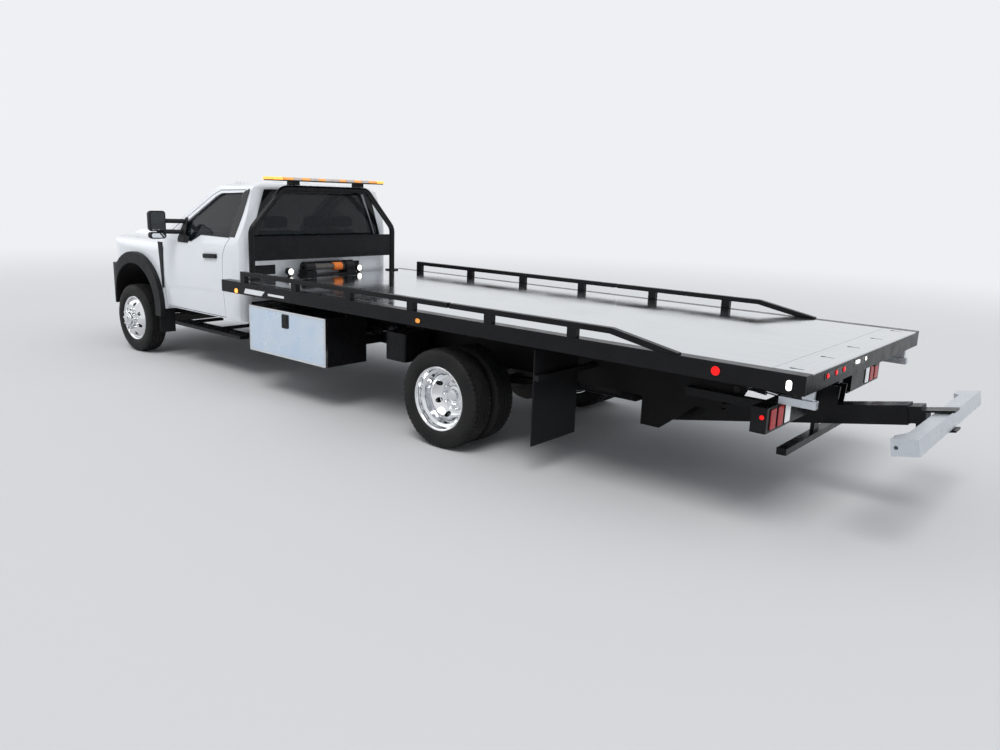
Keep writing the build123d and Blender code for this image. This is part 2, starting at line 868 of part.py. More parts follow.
with BuildPart() as cab_shell:
    add(cab_outer)
    add(cabin.part, mode=Mode.SUBTRACT)
    along = (back(firewall_back - 10), back(cab_back + 10))
    under_floor = cab_half_width - 116
    span((-under_floor, under_floor), along, (0, floor_z - floor_thickness), mode=Mode.SUBTRACT)
    span((-beside_cab, beside_cab), along, (0, cab_sill_z), mode=Mode.SUBTRACT)
    for side in (-1, 1):
        pillar_x = sorted((side * (door_well_x - wall_thickness), side * door_well_x))
        span(pillar_x, (back(firewall_back + 10), back(door_hinge_back + 10)), (floor_z - 10, belt_front_z))
    lower_cut = prism_x(door_opening, (door_well_x, beside_cab))
    for opening in (lower_cut, upper_opening.part):
        add(opening, mode=Mode.SUBTRACT)
        add(opening.mirror(Plane.YZ), mode=Mode.SUBTRACT)
    add(prism_y(screen_outline, screen_places), mode=Mode.SUBTRACT)
    add(prism_y(rear_window_outline, rear_window_places), mode=Mode.SUBTRACT)
    hinge_pin_length = door_bottom_z + hinge_pin_reach - cab_sill_z
    for side in (-1, 1):
        with Locations((side * door_hinge_x, back(door_hinge_back), cab_sill_z + hinge_pin_length / 2)):
            Cylinder(hinge_pin_radius, hinge_pin_length)
    # Marker lamps on the roof: distance from the middle, rise over the roof line
    outer_marker_x = cab_half_width - 366
    for x, rise in ((-outer_marker_x, -9), (-180, 3), (0, 7), (180, 3), (outer_marker_x, -9)):
        span((x - 40, x + 40), (back(1690), back(1770)), (roof_z - wall_thickness, roof_z + rise))

with BuildPart() as door_left:
    add(cab_outer)
    add(door_inner, mode=Mode.SUBTRACT)
    add(prism_x(door_outline, (door_inner_limit, beside_cab)), mode=Mode.INTERSECT)
    add(prism_x(window_outline, (door_inner_limit - 50, beside_cab)), mode=Mode.SUBTRACT)
    # The corner above the hinge is thinner inside, so that it swings clear of the cowl
    corner_inner_x = door_hinge_x - sqrt(door_corner_swing**2 - (door_hinge_back - door_front) ** 2)
    corner_places = (back(door_front - 1), back(door_hinge_back))
    span((door_inner_limit, corner_inner_x), corner_places, (belt_front_z - 20, belt_z), mode=Mode.SUBTRACT)
    with Locations((door_hinge_x, back(door_hinge_back), door_bottom_z + (hinge_pin_reach + 2) / 2)):
        Cylinder(hinge_pin_radius + pin_clearance, hinge_pin_reach + 2, mode=Mode.SUBTRACT)
door_right = mirrored(door_left)

with BuildPart() as door_glass_left:
    add(glass_outer)
    add(glass_inner, mode=Mode.SUBTRACT)
    add(prism_x(window_outline, (door_inner_limit, beside_cab)), mode=Mode.INTERSECT)
door_glass_right = mirrored(door_glass_left)

with BuildPart() as cab_glass:
    add(glass_outer)
    add(glass_inner, mode=Mode.SUBTRACT)
    panes = prism_y(screen_outline, screen_places) + prism_y(rear_window_outline, rear_window_places)
    add(panes, mode=Mode.INTERSECT)


# Nose outline shared by the hood, the fenders and the grille, from the side, the front and above
nose_rear = firewall_back - panel_gap
fender_x = cab_half_width - 4
nose_side = [
    (back(nose_rear), 590, 0),
    (back(-868), 590, 0),
    (back(-888), 1040, 0),
    (back(-852), 1262, 110),
    (back(-500), 1432, 400),
    (back(nose_rear), 1470, 0),
]
nose_front = [
    (fender_x + 3, 550, 0),
    (fender_x + 3, 1000, 0),
    (fender_x - 4, 1318, 110),
    (fender_x - 312, 1366, 0),
    (fender_x - 382, 1430, 80),
    (330, 1474, 0),
]
nose_plan = [
    (fender_x, back(firewall_back + 20), 0),
    (fender_x, back(-430), 500),
    (fender_x - 214, back(-780), 250),
    (420, back(-892), 0),
]


def nose_block(inset):
    with BuildPart() as block:
        with BuildSketch(Plane.YZ) as side:
            rounded(side, nose_side, inset)
        extrude(amount=2 * cab_half_width, both=True)
        with BuildSketch(Plane.XZ.offset(-back(-2 * front_overhang))) as front:
            rounded(front, both_sides(nose_front), inset)
        extrude(amount=-6 * front_overhang, mode=Mode.INTERSECT)
        with BuildSketch(Plane.XY) as plan:
            rounded(plan, both_sides(nose_plan), inset)
        extrude(amount=2 * roof_z, mode=Mode.INTERSECT)
    return block.part


nose_outer = nose_block(0)
fender_inner = nose_block(fender_thickness)
hood_inner = nose_block(hood_thickness)

with BuildPart() as hood:
    add(nose_outer)
    add(hood_inner, mode=Mode.SUBTRACT)
    span(
        (-hood_half_width, hood_half_width),
        (back(-front_overhang), back(firewall_back - 2 * panel_gap)),
        (hood_edge_z, roof_z),
        mode=Mode.INTERSECT,
    )

with BuildPart() as fenders:
    ahead = back(-front_overhang)
    beside_grille = grille_half_width + seat_gap + 12
    fender_wall_x = fender_x - 202
    arch_front = arch_back - arch_radius
    add(nose_outer)
    add(fender_inner, mode=Mode.SUBTRACT)
    span((beside_grille, beside_cab), (ahead, back(nose_rear)), (590, roof_z), mode=Mode.INTERSECT)
    under_hood = (hood_edge_z - panel_gap, roof_z)
    span((0, hood_half_width + panel_gap), (ahead, back(firewall_back)), under_hood, mode=Mode.SUBTRACT)
    span((0, lamp_outer_x), (ahead, back(arch_front + 10)), (lamp_bottom_z, lamp_top_z), mode=Mode.SUBTRACT)
    span((0, fender_wall_x), (back(-690), back(firewall_back)), (0, hood_edge_z + 20), mode=Mode.SUBTRACT)
    span((0, beside_cab), (ahead, back(arch_front + 40)), (0, bumper_top_z + panel_gap), mode=Mode.SUBTRACT)
    rod_x((fender_x / 2, beside_cab), back(arch_back), arch_z, arch_radius, mode=Mode.SUBTRACT)
    arch_places = (back(arch_front), back(arch_back + arch_radius))
    span((fender_x / 2, beside_cab), arch_places, (0, arch_z), mode=Mode.SUBTRACT)
    # Pads that the edge of the hood rests against
    for place in (-300, 300):
        pad_x = (hood_half_width + seat_gap, hood_half_width + panel_gap + 2)
        span(pad_x, (back(place), back(place + 30)), (hood_edge_z + 16, hood_edge_z + 30))
    mirror(about=Plane.YZ)

# Flares: a lip round each arch that follows the fender from above, and a splash guard behind each front tyre
with BuildPart() as wheel_flares:
    with BuildSketch(Plane.YZ):
        with Locations((back(flare_back), flare_z)):
            Circle(flare_radius)
        low_front = (back(flare_front_edge), flare_front_bottom_z)
        with Locations((low_front[0] + arch_radius / 2, low_front[1] + arch_radius / 2)):
            Rectangle(arch_radius, arch_radius)
        with Locations((back(arch_back), arch_z)):
            Circle(arch_radius, mode=Mode.SUBTRACT)
        with Locations((back(arch_back), arch_z - arch_radius)):
            Rectangle(2 * arch_radius, 2 * arch_radius, mode=Mode.SUBTRACT)
        with Locations((back(arch_back), flare_bottom_z - arch_radius)):
            Rectangle(4 * arch_radius, 2 * arch_radius, mode=Mode.SUBTRACT)
        with Locations((back(arch_front - arch_radius), flare_front_bottom_z - arch_radius)):
            Rectangle(2 * arch_radius, 2 * arch_radius, mode=Mode.SUBTRACT)
        with Locations((back(flare_front_edge - arch_radius), arch_z)):
            Rectangle(2 * arch_radius, 4 * arch_radius, mode=Mode.SUBTRACT)
    extrude(amount=2 * cab_half_width)
    with BuildSketch(Plane.XY) as flare_plan:
        rounded(flare_plan, both_sides(nose_plan), -flare_proud)
    extrude(amount=2 * roof_z, mode=Mode.INTERSECT)
    with BuildSketch(Plane.XY) as fender_plan:
        rounded(fender_plan, both_sides(nose_plan), -seat_gap)
    extrude(amount=2 * roof_z, mode=Mode.SUBTRACT)
    guard_x = (guard_inner_x, fender_x + flare_proud - 4)
    guard_places = (back(guard_back), back(guard_back + guard_thickness))
    span(guard_x, guard_places, (guard_bottom_z, 590 - seat_gap))
    mirror(about=Plane.YZ)

# The grille and the lamps follow the nose
with BuildPart() as grille:
    add(nose_block(-grille_proud))
    span(
        (-grille_half_width, grille_half_width),
        (back(-front_overhang), back(grille_seat)),
        (grille_bottom_z, grille_top_z),
        mode=Mode.INTERSECT,
    )
    grille_step = (grille_top_z - grille_bottom_z) / grille_bar_count
    for index in range(grille_bar_count):
        low = grille_bottom_z + index * grille_step + 14
        span(
            (-grille_half_width + 30, grille_half_width - 30),
            (back(-front_overhang), back(grille_seat - 18)),
            (low, low + grille_step - 28),
            mode=Mode.SUBTRACT,
        )

with BuildPart() as headlamps:
    add(nose_block(4))
    add(nose_block(4 + lamp_depth), mode=Mode.SUBTRACT)
    span(
        (grille_half_width + seat_gap, lamp_outer_x - seat_gap),
        (ahead, back(arch_front)),
        (lamp_bottom_z + seat_gap, lamp_top_z - 6),
        mode=Mode.INTERSECT,
    )
    mirror(about=Plane.YZ)

# Bumper: a deep band that follows the nose and ends at the flares
bumper_plan = [
    (cab_half_width + 78, back(-293), 0),
    (cab_half_width - 200, back(-812), 260),
    (470, back(-front_overhang), 300),
]
with BuildPart() as front_bumper:
    with BuildSketch(Plane.XY.offset(bumper_bottom_z)) as bumper_outer:
        rounded(bumper_outer, both_sides(bumper_plan), 0)
    extrude(amount=bumper_top_z - bumper_bottom_z)
    with BuildSketch(Plane.XY.offset(bumper_bottom_z)) as bumper_inner:
        rounded(bumper_inner, both_sides(bumper_plan), bumper_depth)
    extrude(amount=bumper_top_z - bumper_bottom_z, mode=Mode.SUBTRACT)
    bumper_places = (back(-front_overhang), back(flare_front_edge - panel_gap))
    span((-beside_cab, beside_cab), bumper_places, (bumper_bottom_z, bumper_top_z), mode=Mode.INTERSECT)
    for side in (-1, 1):
        iron_x = sorted((side * (frame_half_width - rail_flange), side * frame_half_width))
        iron_places = (back(-front_overhang + bumper_depth - 1), back(frame_front - seat_gap))
        span(iron_x, iron_places, (580, 690))

# Inside of the cab
with BuildPart() as dashboard:
    dashboard_half = cab_half_width - 186
    with BuildSketch(Plane.YZ.offset(-dashboard_half)):
        with BuildLine():
            Polyline(
                (back(firewall_back + wall_thickness + seat_gap), 1120),
                (back(firewall_back + wall_thickness + seat_gap), 1380),
                (back(860), 1392),
                (back(960), 1330),
                (back(940), 1120),
                close=True,
            )
        make_face()
    extrude(amount=2 * dashboard_half)

column_tilt = radians(28)
with BuildPart() as steering_wheel:
    wheel_plane = Plane(
        origin=(380, back(1120), 1290),
        x_dir=(1, 0, 0),
        z_dir=(0, cos(column_tilt), sin(column_tilt)),
    )
    with BuildSketch(wheel_plane):
        Circle(196)
        Circle(168, mode=Mode.SUBTRACT)
        Rectangle(350, 40)
        Circle(60)
    extrude(amount=24)
    with BuildSketch(wheel_plane):
        Circle(26)
    extrude(amount=-177.9)


with BuildPart() as seats:
    for x_range in ((140, 690), (-690, 100)):
        with BuildSketch(Plane.YZ.offset(x_range[0])):
            with BuildLine():
                Polyline(
                    (back(1380), floor_z + seat_gap),
                    (back(1350), floor_z + 330),
                    (back(1790), floor_z + 310),
                    (back(1930), floor_z + 850),
                    (back(2060), floor_z + 850),
                    (back(1980), floor_z + seat_gap),
                    close=True,
                )
            make_face()
        extrude(amount=x_range[1] - x_range[0])

# Mirrors: a tall head on two arms that spring from a plate on the front corner of the door
mirror_inner_x = cab_half_width + 114
mirror_width = 180
mirror_length = 90
mirror_back = 970
mirror_bottom_z = 1405
mirror_height = 300
mirror_plate_thickness = 14
mirror_plate = ((1060, 1376), (1060, 1500), (1105, 1640), (1150, 1640), (1176, 1420), (1176, 1376))
mirror_arms = (1470, 1585)
mirror_arm_size = 30
with BuildPart() as mirror_left:
    add(cab_block(0, -mirror_plate_thickness))
    add(prism_x(mirror_plate, (door_inner_limit, beside_cab)), mode=Mode.INTERSECT)
    with BuildSketch(Plane.XY.offset(mirror_bottom_z)):
        with Locations((mirror_inner_x + mirror_width / 2, back(mirror_back))):
            RectangleRounded(mirror_width, mirror_length, 40)
    extrude(amount=mirror_height)
    for low in mirror_arms:
        with BuildSketch(Plane.XY.offset(low)):
            with BuildLine():
                Polyline(
                    (door_inner_limit + 150, back(1080)),
                    (door_inner_limit + 150, back(1125)),
                    (mirror_inner_x + 20, back(mirror_back + 22)),
                    (mirror_inner_x + 20, back(mirror_back - 22)),
                    close=True,
                )
            make_face()
        extrude(amount=mirror_arm_size)
    add(cab_block(0, -seat_gap), mode=Mode.SUBTRACT)
mirror_right = mirrored(mirror_left)

with BuildPart() as running_boards:
    span(
        (step_inner_x, step_outer_x),
        (back(step_front), back(step_rear)),
        (step_z, step_z + step_thickness),
    )
    beside_rail = frame_half_width + seat_gap
    for place in (step_front + 50, (step_front + step_rear) / 2, step_rear - 150):
        arm_places = (back(place), back(place + 50))
        span((beside_rail, step_inner_x + 20), arm_places, (step_z + 2, step_z + step_thickness - 2))
        span((beside_rail, beside_rail + 20), arm_places, (step_z + 2, 640))
    mirror(about=Plane.YZ)

# Tilt frame on the chassis, hinged at its rear, which carries the sliding bed
tilt_rail_bottom = rail_top + tilt_gap
tilt_rail_top = tilt_rail_bottom + tilt_rail_depth
with BuildPart() as tilt_frame:
    rail_x = (frame_half_width - rail_flange, frame_half_width)
    # Bracket and pin for the eye of the tilt cylinder's rod
    eye_y = back(tilt_cylinder_eye[0])
    bracket_top_z = tilt_rail_bottom + 28
    bracket_places = (eye_y - 50, eye_y + 50)
    span((frame_half_width - 1, frame_half_width + 20), bracket_places, (tilt_rail_bottom, bracket_top_z))
    bracket_z = (tilt_cylinder_eye[1] - 30, bracket_top_z)
    span((frame_half_width + 6, frame_half_width + 20), bracket_places, bracket_z)
    pin_end = tilt_cylinder_x - cylinder_eye_width / 2 - 6
    rod_x((frame_half_width + 19, pin_end), eye_y, tilt_cylinder_eye[1], cylinder_pin_radius)
    span(rail_x, (back(tilt_frame_front), back(tilt_frame_rear)), (tilt_rail_bottom, tilt_rail_top))
    lug_x = (frame_half_width - rail_flange + 24, frame_half_width - 8)
    lug_places = (back(tilt_pivot_back - tilt_lug_radius), back(tilt_pivot_back + tilt_lug_radius))
    span(lug_x, lug_places, (tilt_pivot_z, tilt_rail_bottom + 4))
    rod_x(lug_x, back(tilt_pivot_back), tilt_pivot_z, tilt_lug_radius)
    mirror(about=Plane.YZ)
    first_member = tilt_frame_front + 40
    member_step = (tilt_frame_rear - 100 - first_member) / (tilt_member_count - 1)
    for index in range(tilt_member_count):
        place = first_member + index * member_step
        member_z = (tilt_rail_bottom + 5, tilt_rail_top - 20)
        span((-rail_x[0] - 2, rail_x[0] + 2), (back(place), back(place + 80)), member_z)
    rod_x(
        (-frame_half_width - ear_thickness - 6, frame_half_width + ear_thickness + 6),
        back(tilt_pivot_back),
        tilt_pivot_z,
        tilt_pin_radius,
    )

# Bed: two channel beams with closed ends, two sills, bolsters across them and a plate at each end
sill_bottom = tilt_rail_top + seat_gap
bolster_top = deck_z - deck_thickness - seat_gap
bolster_bottom = bolster_top - bolster_depth
sill_top = bolster_bottom - seat_gap
between_beams = bed_half_width - beam_width - seat_gap
inside_beams = bed_half_width - beam_wall - seat_gap
beam_bottom = deck_z - beam_depth
with BuildPart() as bed_frame:
    span(
        (bed_half_width - beam_width, bed_half_width),
        (back(beam_front), back(bed_rear)),
        (beam_bottom, deck_z),
    )
    span(
        (bed_half_width - 2 * beam_width, bed_half_width - beam_wall),
        (back(beam_front + beam_wall), back(bed_rear - beam_wall)),
        (beam_bottom + beam_wall, deck_z - beam_wall),
        mode=Mode.SUBTRACT,
    )
    span(
        rail_x,
        (back(bed_front + end_plate_depth + seat_gap), back(bed_rear - 60)),
        (sill_bottom, sill_top),
    )
    mirror(about=Plane.YZ)
    bolster_step = (last_bolster - first_bolster) / (bolster_count - 1)
    for index in range(bolster_count):
        place = first_bolster + index * bolster_step
        places = (back(place), back(place + bolster_width))
        span((-inside_beams, inside_beams), places, (bolster_bottom, bolster_top))
    end_places = (back(bed_front), back(bed_front + end_plate_depth))
    span((-between_beams, between_beams), end_places, (sill_bottom + 40, bolster_top))
    rear_places = (back(bed_rear - rear_plate_thickness), back(bed_rear))
    span((-between_beams, between_beams), rear_places, (beam_bottom, bolster_top))

# Deck of two sheets: a short one under the winch and the long one that carries the load
deck_sheet_z = (deck_z - deck_thickness, deck_z)
with BuildPart() as deck_plate:
    for places in ((bed_front, deck_joint - plate_gap), (deck_joint, tail_plate_front - plate_gap)):
        span((-between_beams, between_beams), (back(places[0]), back(places[1])), deck_sheet_z)

# Tail plate with keyhole slots for tie-down chains
with BuildPart() as tail_plate:
    span((-between_beams, between_beams), (back(tail_plate_front), back(bed_rear)), deck_sheet_z)
    slot_run = key_slot_length - key_hole_radius
    with BuildSketch(Plane.XY.offset(deck_sheet_z[0])):
        for index in range(key_slot_count):
            x = (index - (key_slot_count - 1) / 2) * key_slot_pitch
            with Locations((x, back(key_slot_front + key_hole_radius))):
                Circle(key_hole_radius)
            with Locations((x, back(key_slot_front + key_hole_radius + slot_run / 2))):
                Rectangle(key_slot_width, slot_run)
    extrude(amount=deck_thickness, mode=Mode.SUBTRACT)

with BuildPart() as stowed_arms:
    arm_x = (stowed_arm_x - stowed_arm_size / 2, stowed_arm_x + stowed_arm_size / 2)
    arm_top = stowed_arm_bottom_z + stowed_arm_size
    span(arm_x, (back(stowed_arm_front), back(stowed_arm_rear)), (stowed_arm_bottom_z, arm_top))
    lug_places = (back(bed_rear - 90), back(bed_rear - rear_plate_thickness - seat_gap))
    span((arm_x[0] + 8, arm_x[1] - 8), lug_places, (arm_top - 1, deck_z - 60))
    mirror(about=Plane.YZ)

# Side rails: a straight run with a gap at its joint, then a slope down to the beam
with BuildPart() as side_rails:
    rail_span_x = (bed_half_width - side_rail_width, bed_half_width)
    rail_z = (side_rail_top - side_rail_depth, side_rail_top)
    span(rail_span_x, (back(side_rail_front), back(side_rail_joint - side_rail_joint_gap / 2)), rail_z)
    with BuildSketch(Plane.YZ.offset(rail_span_x[0])):
        with BuildLine():
            Polyline(
                (back(side_rail_joint + side_rail_joint_gap / 2), rail_z[0]),
                (back(side_rail_joint + side_rail_joint_gap / 2), rail_z[1]),
                (back(side_rail_bend), rail_z[1]),
                (back(side_rail_end), deck_z + side_rail_depth * 0.3),
                (back(side_rail_end), deck_z + seat_gap),
                (back(side_rail_end - 160), deck_z + seat_gap),
                (back(side_rail_bend - 12), rail_z[0]),
                close=True,
            )
        make_face()
    extrude(amount=side_rail_width)
    post_places = [side_rail_front + run for run in post_places_from_front]
    post_places += [side_rail_bend + run for run in post_places_from_bend]
    for place in post_places:
        places = (back(place - post_length / 2), back(place + post_length / 2))
        span(rail_span_x, places, (deck_z + seat_gap, rail_z[0] + 1))
    mirror(about=Plane.YZ)

# Headboard: a round tube bent into an arch on two feet, with a sheet panel across it
with BuildPart() as headboard:
    with BuildLine(Plane.XZ.offset(-back(headboard_back))) as arch_line:
        FilletPolyline(
            (headboard_leg_x, deck_z + seat_gap + 2),
            (headboard_leg_x, headboard_shoulder_z),
            (headboard_top_x, headboard_top_z),
            (-headboard_top_x, headboard_top_z),
            (-headboard_leg_x, headboard_shoulder_z),
            (-headboard_leg_x, deck_z + seat_gap + 2),
            radius=headboard_bend,
        )
    with BuildSketch(Plane(origin=arch_line.line @ 0, z_dir=arch_line.line % 0)):
        Circle(headboard_tube_radius)
    sweep(path=arch_line.line)
    panel_x = headboard_leg_x - 10
    panel_places = (back(headboard_back - panel_thickness / 2), back(headboard_back + panel_thickness / 2))
    span((-panel_x, panel_x), panel_places, (panel_bottom_z, panel_top_z))
    foot_places = (back(headboard_back - headboard_foot / 2), back(headboard_back + headboard_foot / 2))
    for side in (-1, 1):
        foot_x = (side * headboard_leg_x - headboard_foot / 2, side * headboard_leg_x + headboard_foot / 2)
        span(foot_x, foot_places, (deck_z + seat_gap, deck_z + headboard_foot_height))

with BuildPart() as light_bar:
    bar_places = (back(headboard_back - light_bar_width / 2), back(headboard_back + light_bar_width / 2))
    span((-light_bar_half, light_bar_half), bar_places, (light_bar_z, light_bar_z + light_bar_height))
    fillet(light_bar.edges().filter_by(Axis.Z), 60)
    foot_low = headboard_top_z + headboard_tube_radius + seat_gap
    for x in (-light_bar_foot_x, light_bar_foot_x):
        span(
            (x - 50, x + 50),
            (back(headboard_back - 26), back(headboard_back + 26)),
            (foot_low, light_bar_z + 1),
        )

winch_places = (back(winch_back - winch_base_half), back(winch_back + winch_base_half))
drum_half = winch_half - winch_end_width
with BuildPart() as winch:
    base_top = deck_z + seat_gap + winch_base_thickness
    for side in (-1, 1):
        ends = sorted((side * drum_half, side * winch_half))
        rod_x(ends, back(winch_back), winch_z, winch_flange_radius)
        span(ends, winch_places, (base_top - 1, winch_z - 30))
    span((-winch_half - 20, winch_half + 20), winch_places, (deck_z + seat_gap, base_top))
    # Tie bar between the two ends
    rod_x(
        (-drum_half - 1, drum_half + 1),
        back(winch_back - winch_guide_z + winch_z),
        winch_guide_z,
        winch_guide_radius,
    )
    bore_x = (-winch_half, winch_half)
    rod_x(bore_x, back(winch_back), winch_z, winch_shaft_radius + pin_clearance, mode=Mode.SUBTRACT)

with BuildPart() as winch_drum:
    rod_x((-drum_half + 6, drum_half - 6), back(winch_back), winch_z, winch_drum_radius)
    rod_x((-winch_half, winch_half), back(winch_back), winch_z, winch_shaft_radius)

# Work lamps that stand on the deck on each side of the winch
with BuildPart() as work_lamps:
    for x in (-work_lamp_x, work_lamp_x):
        with Locations(Location((x, back(work_lamp_back), work_lamp_z), (90, 0, 0))):
            Cylinder(work_lamp_radius, work_lamp_depth)
        lamp_places = (back(work_lamp_back - 12), back(work_lamp_back + 12))
        span((x - 14, x + 14), lamp_places, (deck_z + seat_gap, work_lamp_z - work_lamp_radius + 6))


def toolbox():
    # An open-fronted box of sheet with two hanger arms to the frame
    with BuildPart() as piece:
        outer_x = toolbox_outer_x - toolbox_door_thickness - toolbox_door_gap
        span(
            (toolbox_inner_x, outer_x),
            (back(toolbox_front), back(toolbox_rear)),
            (toolbox_bottom_z, toolbox_top_z),
        )
        span(
            (toolbox_inner_x + toolbox_wall, outer_x + 10),
            (back(toolbox_front + toolbox_wall), back(toolbox_rear - toolbox_wall)),
            (toolbox_bottom_z + toolbox_wall, toolbox_top_z - toolbox_wall),
            mode=Mode.SUBTRACT,
        )
        for place in (toolbox_front + 74, toolbox_rear - 106):
            span(
                (frame_half_width + seat_gap, toolbox_inner_x + 1),
                (back(place), back(place + 60)),
                (575, 635),
            )
        mirror(about=Plane.YZ)
    return piece


toolboxes = toolbox()


def toolbox_door():
    with BuildPart() as piece:
        span(
            (toolbox_outer_x - toolbox_door_thickness, toolbox_outer_x),
            (back(toolbox_front), back(toolbox_rear)),
            (toolbox_bottom_z, toolbox_top_z),
        )
        middle = (toolbox_front + toolbox_rear) / 2
        span(
            (toolbox_outer_x - 1, toolbox_outer_x + 8),
            (back(middle - latch_size[0] / 2), back(middle + latch_size[0] / 2)),
            (toolbox_top_z - 40 - latch_size[1], toolbox_top_z - 40),
        )
    return piece


toolbox_door_left = toolbox_door()
toolbox_door_right = mirrored(toolbox_door_left)

with BuildPart() as mud_flaps:
    flap_places = (back(flap_back), back(flap_back + flap_thickness))
    span((flap_inner_x, flap_outer_x), flap_places, (flap_bottom_z, flap_top_z))
    hanger_places = (back(flap_back + flap_thickness - 1), back(flap_back + 48))
    span((frame_half_width + seat_gap, flap_outer_x), hanger_places, (720, 760))
    mirror(about=Plane.YZ)

# Tail lamp panels, on arms that reach out from the rear of the frame
with BuildPart() as lamp_panels:
    span(
        (lamp_panel_inner_x, lamp_panel_outer_x),
        (back(lamp_panel_back - lamp_panel_depth), back(lamp_panel_back)),
        (lamp_panel_bottom_z, lamp_panel_top_z),
    )
    arm_x = (frame_half_width + ear_thickness + seat_gap, frame_half_width + ear_thickness + lamp_arm_width)
    arm_places = (back(lamp_arm_front), back(lamp_panel_back - 20))
    span(arm_x, arm_places, (lamp_arm_bottom_z, lamp_arm_top_z))
    mirror(about=Plane.YZ)
    panel_front = lamp_panel_back - lamp_panel_depth
    bar_places = (back(panel_front - lamp_bar_depth), back(panel_front + 1))
    span((-arm_x[1], arm_x[1]), bar_places, (lamp_arm_bottom_z + 10, lamp_arm_top_z))

# Wheel lift in its travelling position, pitched up towards the rear
lift_plane = Plane(
    origin=(0, back(lift_pivot_back), lift_pivot_z),
    x_dir=(1, 0, 0),
    z_dir=(0, cos(lift_slope), sin(lift_slope)),
)
with BuildPart() as lift_boom:
    with BuildSketch(lift_plane.offset(60)):
        Rectangle(boom_width, boom_depth)
        Rectangle(boom_width - 2 * boom_wall, boom_depth - 2 * boom_wall, mode=Mode.SUBTRACT)
    extrude(amount=boom_length - 60)
    with BuildSketch(lift_plane.offset(-55)):
        Rectangle(boom_width, boom_depth)
    extrude(amount=120)
    rod_x((-300, 300), back(lift_pivot_back), lift_pivot_z, 60)
    rod_x(
        (-310, 310),
        back(lift_pivot_back),
        lift_pivot_z,
        lift_pin_radius + pin_clearance,
        mode=Mode.SUBTRACT,
    )
    # Foot that lies across under the boom, hung from the boom's lower wall
    foot_y = (back(foot_back - foot_size / 2), back(foot_back + foot_size / 2))
    span((-foot_half, foot_half), foot_y, (foot_bottom_z, foot_bottom_z + foot_height))
    neck_y = (back(foot_back - foot_neck / 2), back(foot_back + foot_neck / 2))
    neck_top = along_lift((foot_back - lift_pivot_back) / cos(lift_slope), 4 - boom_depth / 2)[1]
    span((-50, 50), neck_y, (foot_bottom_z + foot_height - 1, neck_top))
    # Mast on top of the boom: two side plates and a front plate
    mast_plates = (
        (-boom_width / 2, mast_wall, mast_rear),
        (boom_width / 2 - mast_wall, mast_wall, mast_rear),
        (-boom_width / 2, boom_width, mast_front + mast_wall),
    )
    for low_x, width, rear_place in mast_plates:
        with BuildSketch(Plane.YZ.offset(low_x)):
            with BuildLine():
                Polyline(
                    along_lift((mast_front - lift_pivot_back) / cos(lift_slope), boom_depth / 2 - 4),
                    along_lift((rear_place - lift_pivot_back) / cos(lift_slope), boom_depth / 2 - 4),
                    (back(rear_place), mast_top_z),
                    (back(mast_front), mast_top_z),
                    close=True,
                )
            make_face()
        extrude(amount=width)
    # Ears beside the eye of the lift cylinder's rod
    eye_y = back(lift_cylinder_eye[0])
    eye_along = (lift_cylinder_eye[0] - lift_pivot_back) / cos(lift_slope)
    for side in (-1, 1):
        ear_low_x = cylinder_eye_width / 2 + 6 if side > 0 else -cylinder_eye_width / 2 - 18
        with BuildSketch(Plane.YZ.offset(ear_low_x)):
            with BuildLine():
                Polyline(
                    along_lift(eye_along - 60, boom_depth / 2 - 4),
                    along_lift(eye_along + 70, boom_depth / 2 - 4),
                    (eye_y + 26, lift_cylinder_eye[1] + 28),
                    (eye_y - 26, lift_cylinder_eye[1] + 28),
                    close=True,
                )
            make_face()
        extrude(amount=12)
    rod_x(
        (-cylinder_eye_width / 2 - 7, -cylinder_eye_width / 2 - 1),
        eye_y,
        lift_cylinder_eye[1],
        cylinder_pin_radius,
    )
    rod_x(
        (cylinder_eye_width / 2 + 1, cylinder_eye_width / 2 + 7),
        eye_y,
        lift_cylinder_eye[1],
        cylinder_pin_radius,
    )


# Inner stage with the fork that holds the crossbar's upright pin
bar_y, bar_z = along_lift(crossbar_along, -crossbar_drop)
pin_direction = (0, -sin(lift_slope), cos(lift_slope))
pin_plane = Plane(origin=(0, bar_y, bar_z), x_dir=(1, 0, 0), z_dir=pin_direction)
with BuildPart() as lift_stage:
    with BuildSketch(lift_plane.offset(boom_length - stage_tail)):
        Rectangle(boom_width - 2 * boom_wall - 2 * stage_gap, boom_depth - 2 * boom_wall - 2 * stage_gap)
    extrude(amount=stage_tail + crossbar_along - boom_length - fork_root + 40)
    with BuildSketch(pin_plane.offset(-crossbar_size / 2 - head_gap - fork_thickness)):
        with Locations((0, -(fork_root + 96) / 2)):
            Rectangle(fork_width, fork_root - 96)
    extrude(amount=crossbar_size + 2 * head_gap + 2 * fork_thickness)
    for low in (-crossbar_size / 2 - head_gap - fork_thickness, crossbar_size / 2 + head_gap):
        with BuildSketch(pin_plane.offset(low)):
            with Locations((0, (fork_reach - fork_root) / 2)):
                Rectangle(fork_width, fork_root + fork_reach)
        extrude(amount=fork_thickness)
    with BuildSketch(pin_plane.offset(-crossbar_size / 2 - head_gap - fork_thickness)):
        Circle(head_pin_radius)
    extrude(amount=crossbar_size + 2 * head_gap + 2 * fork_thickness)

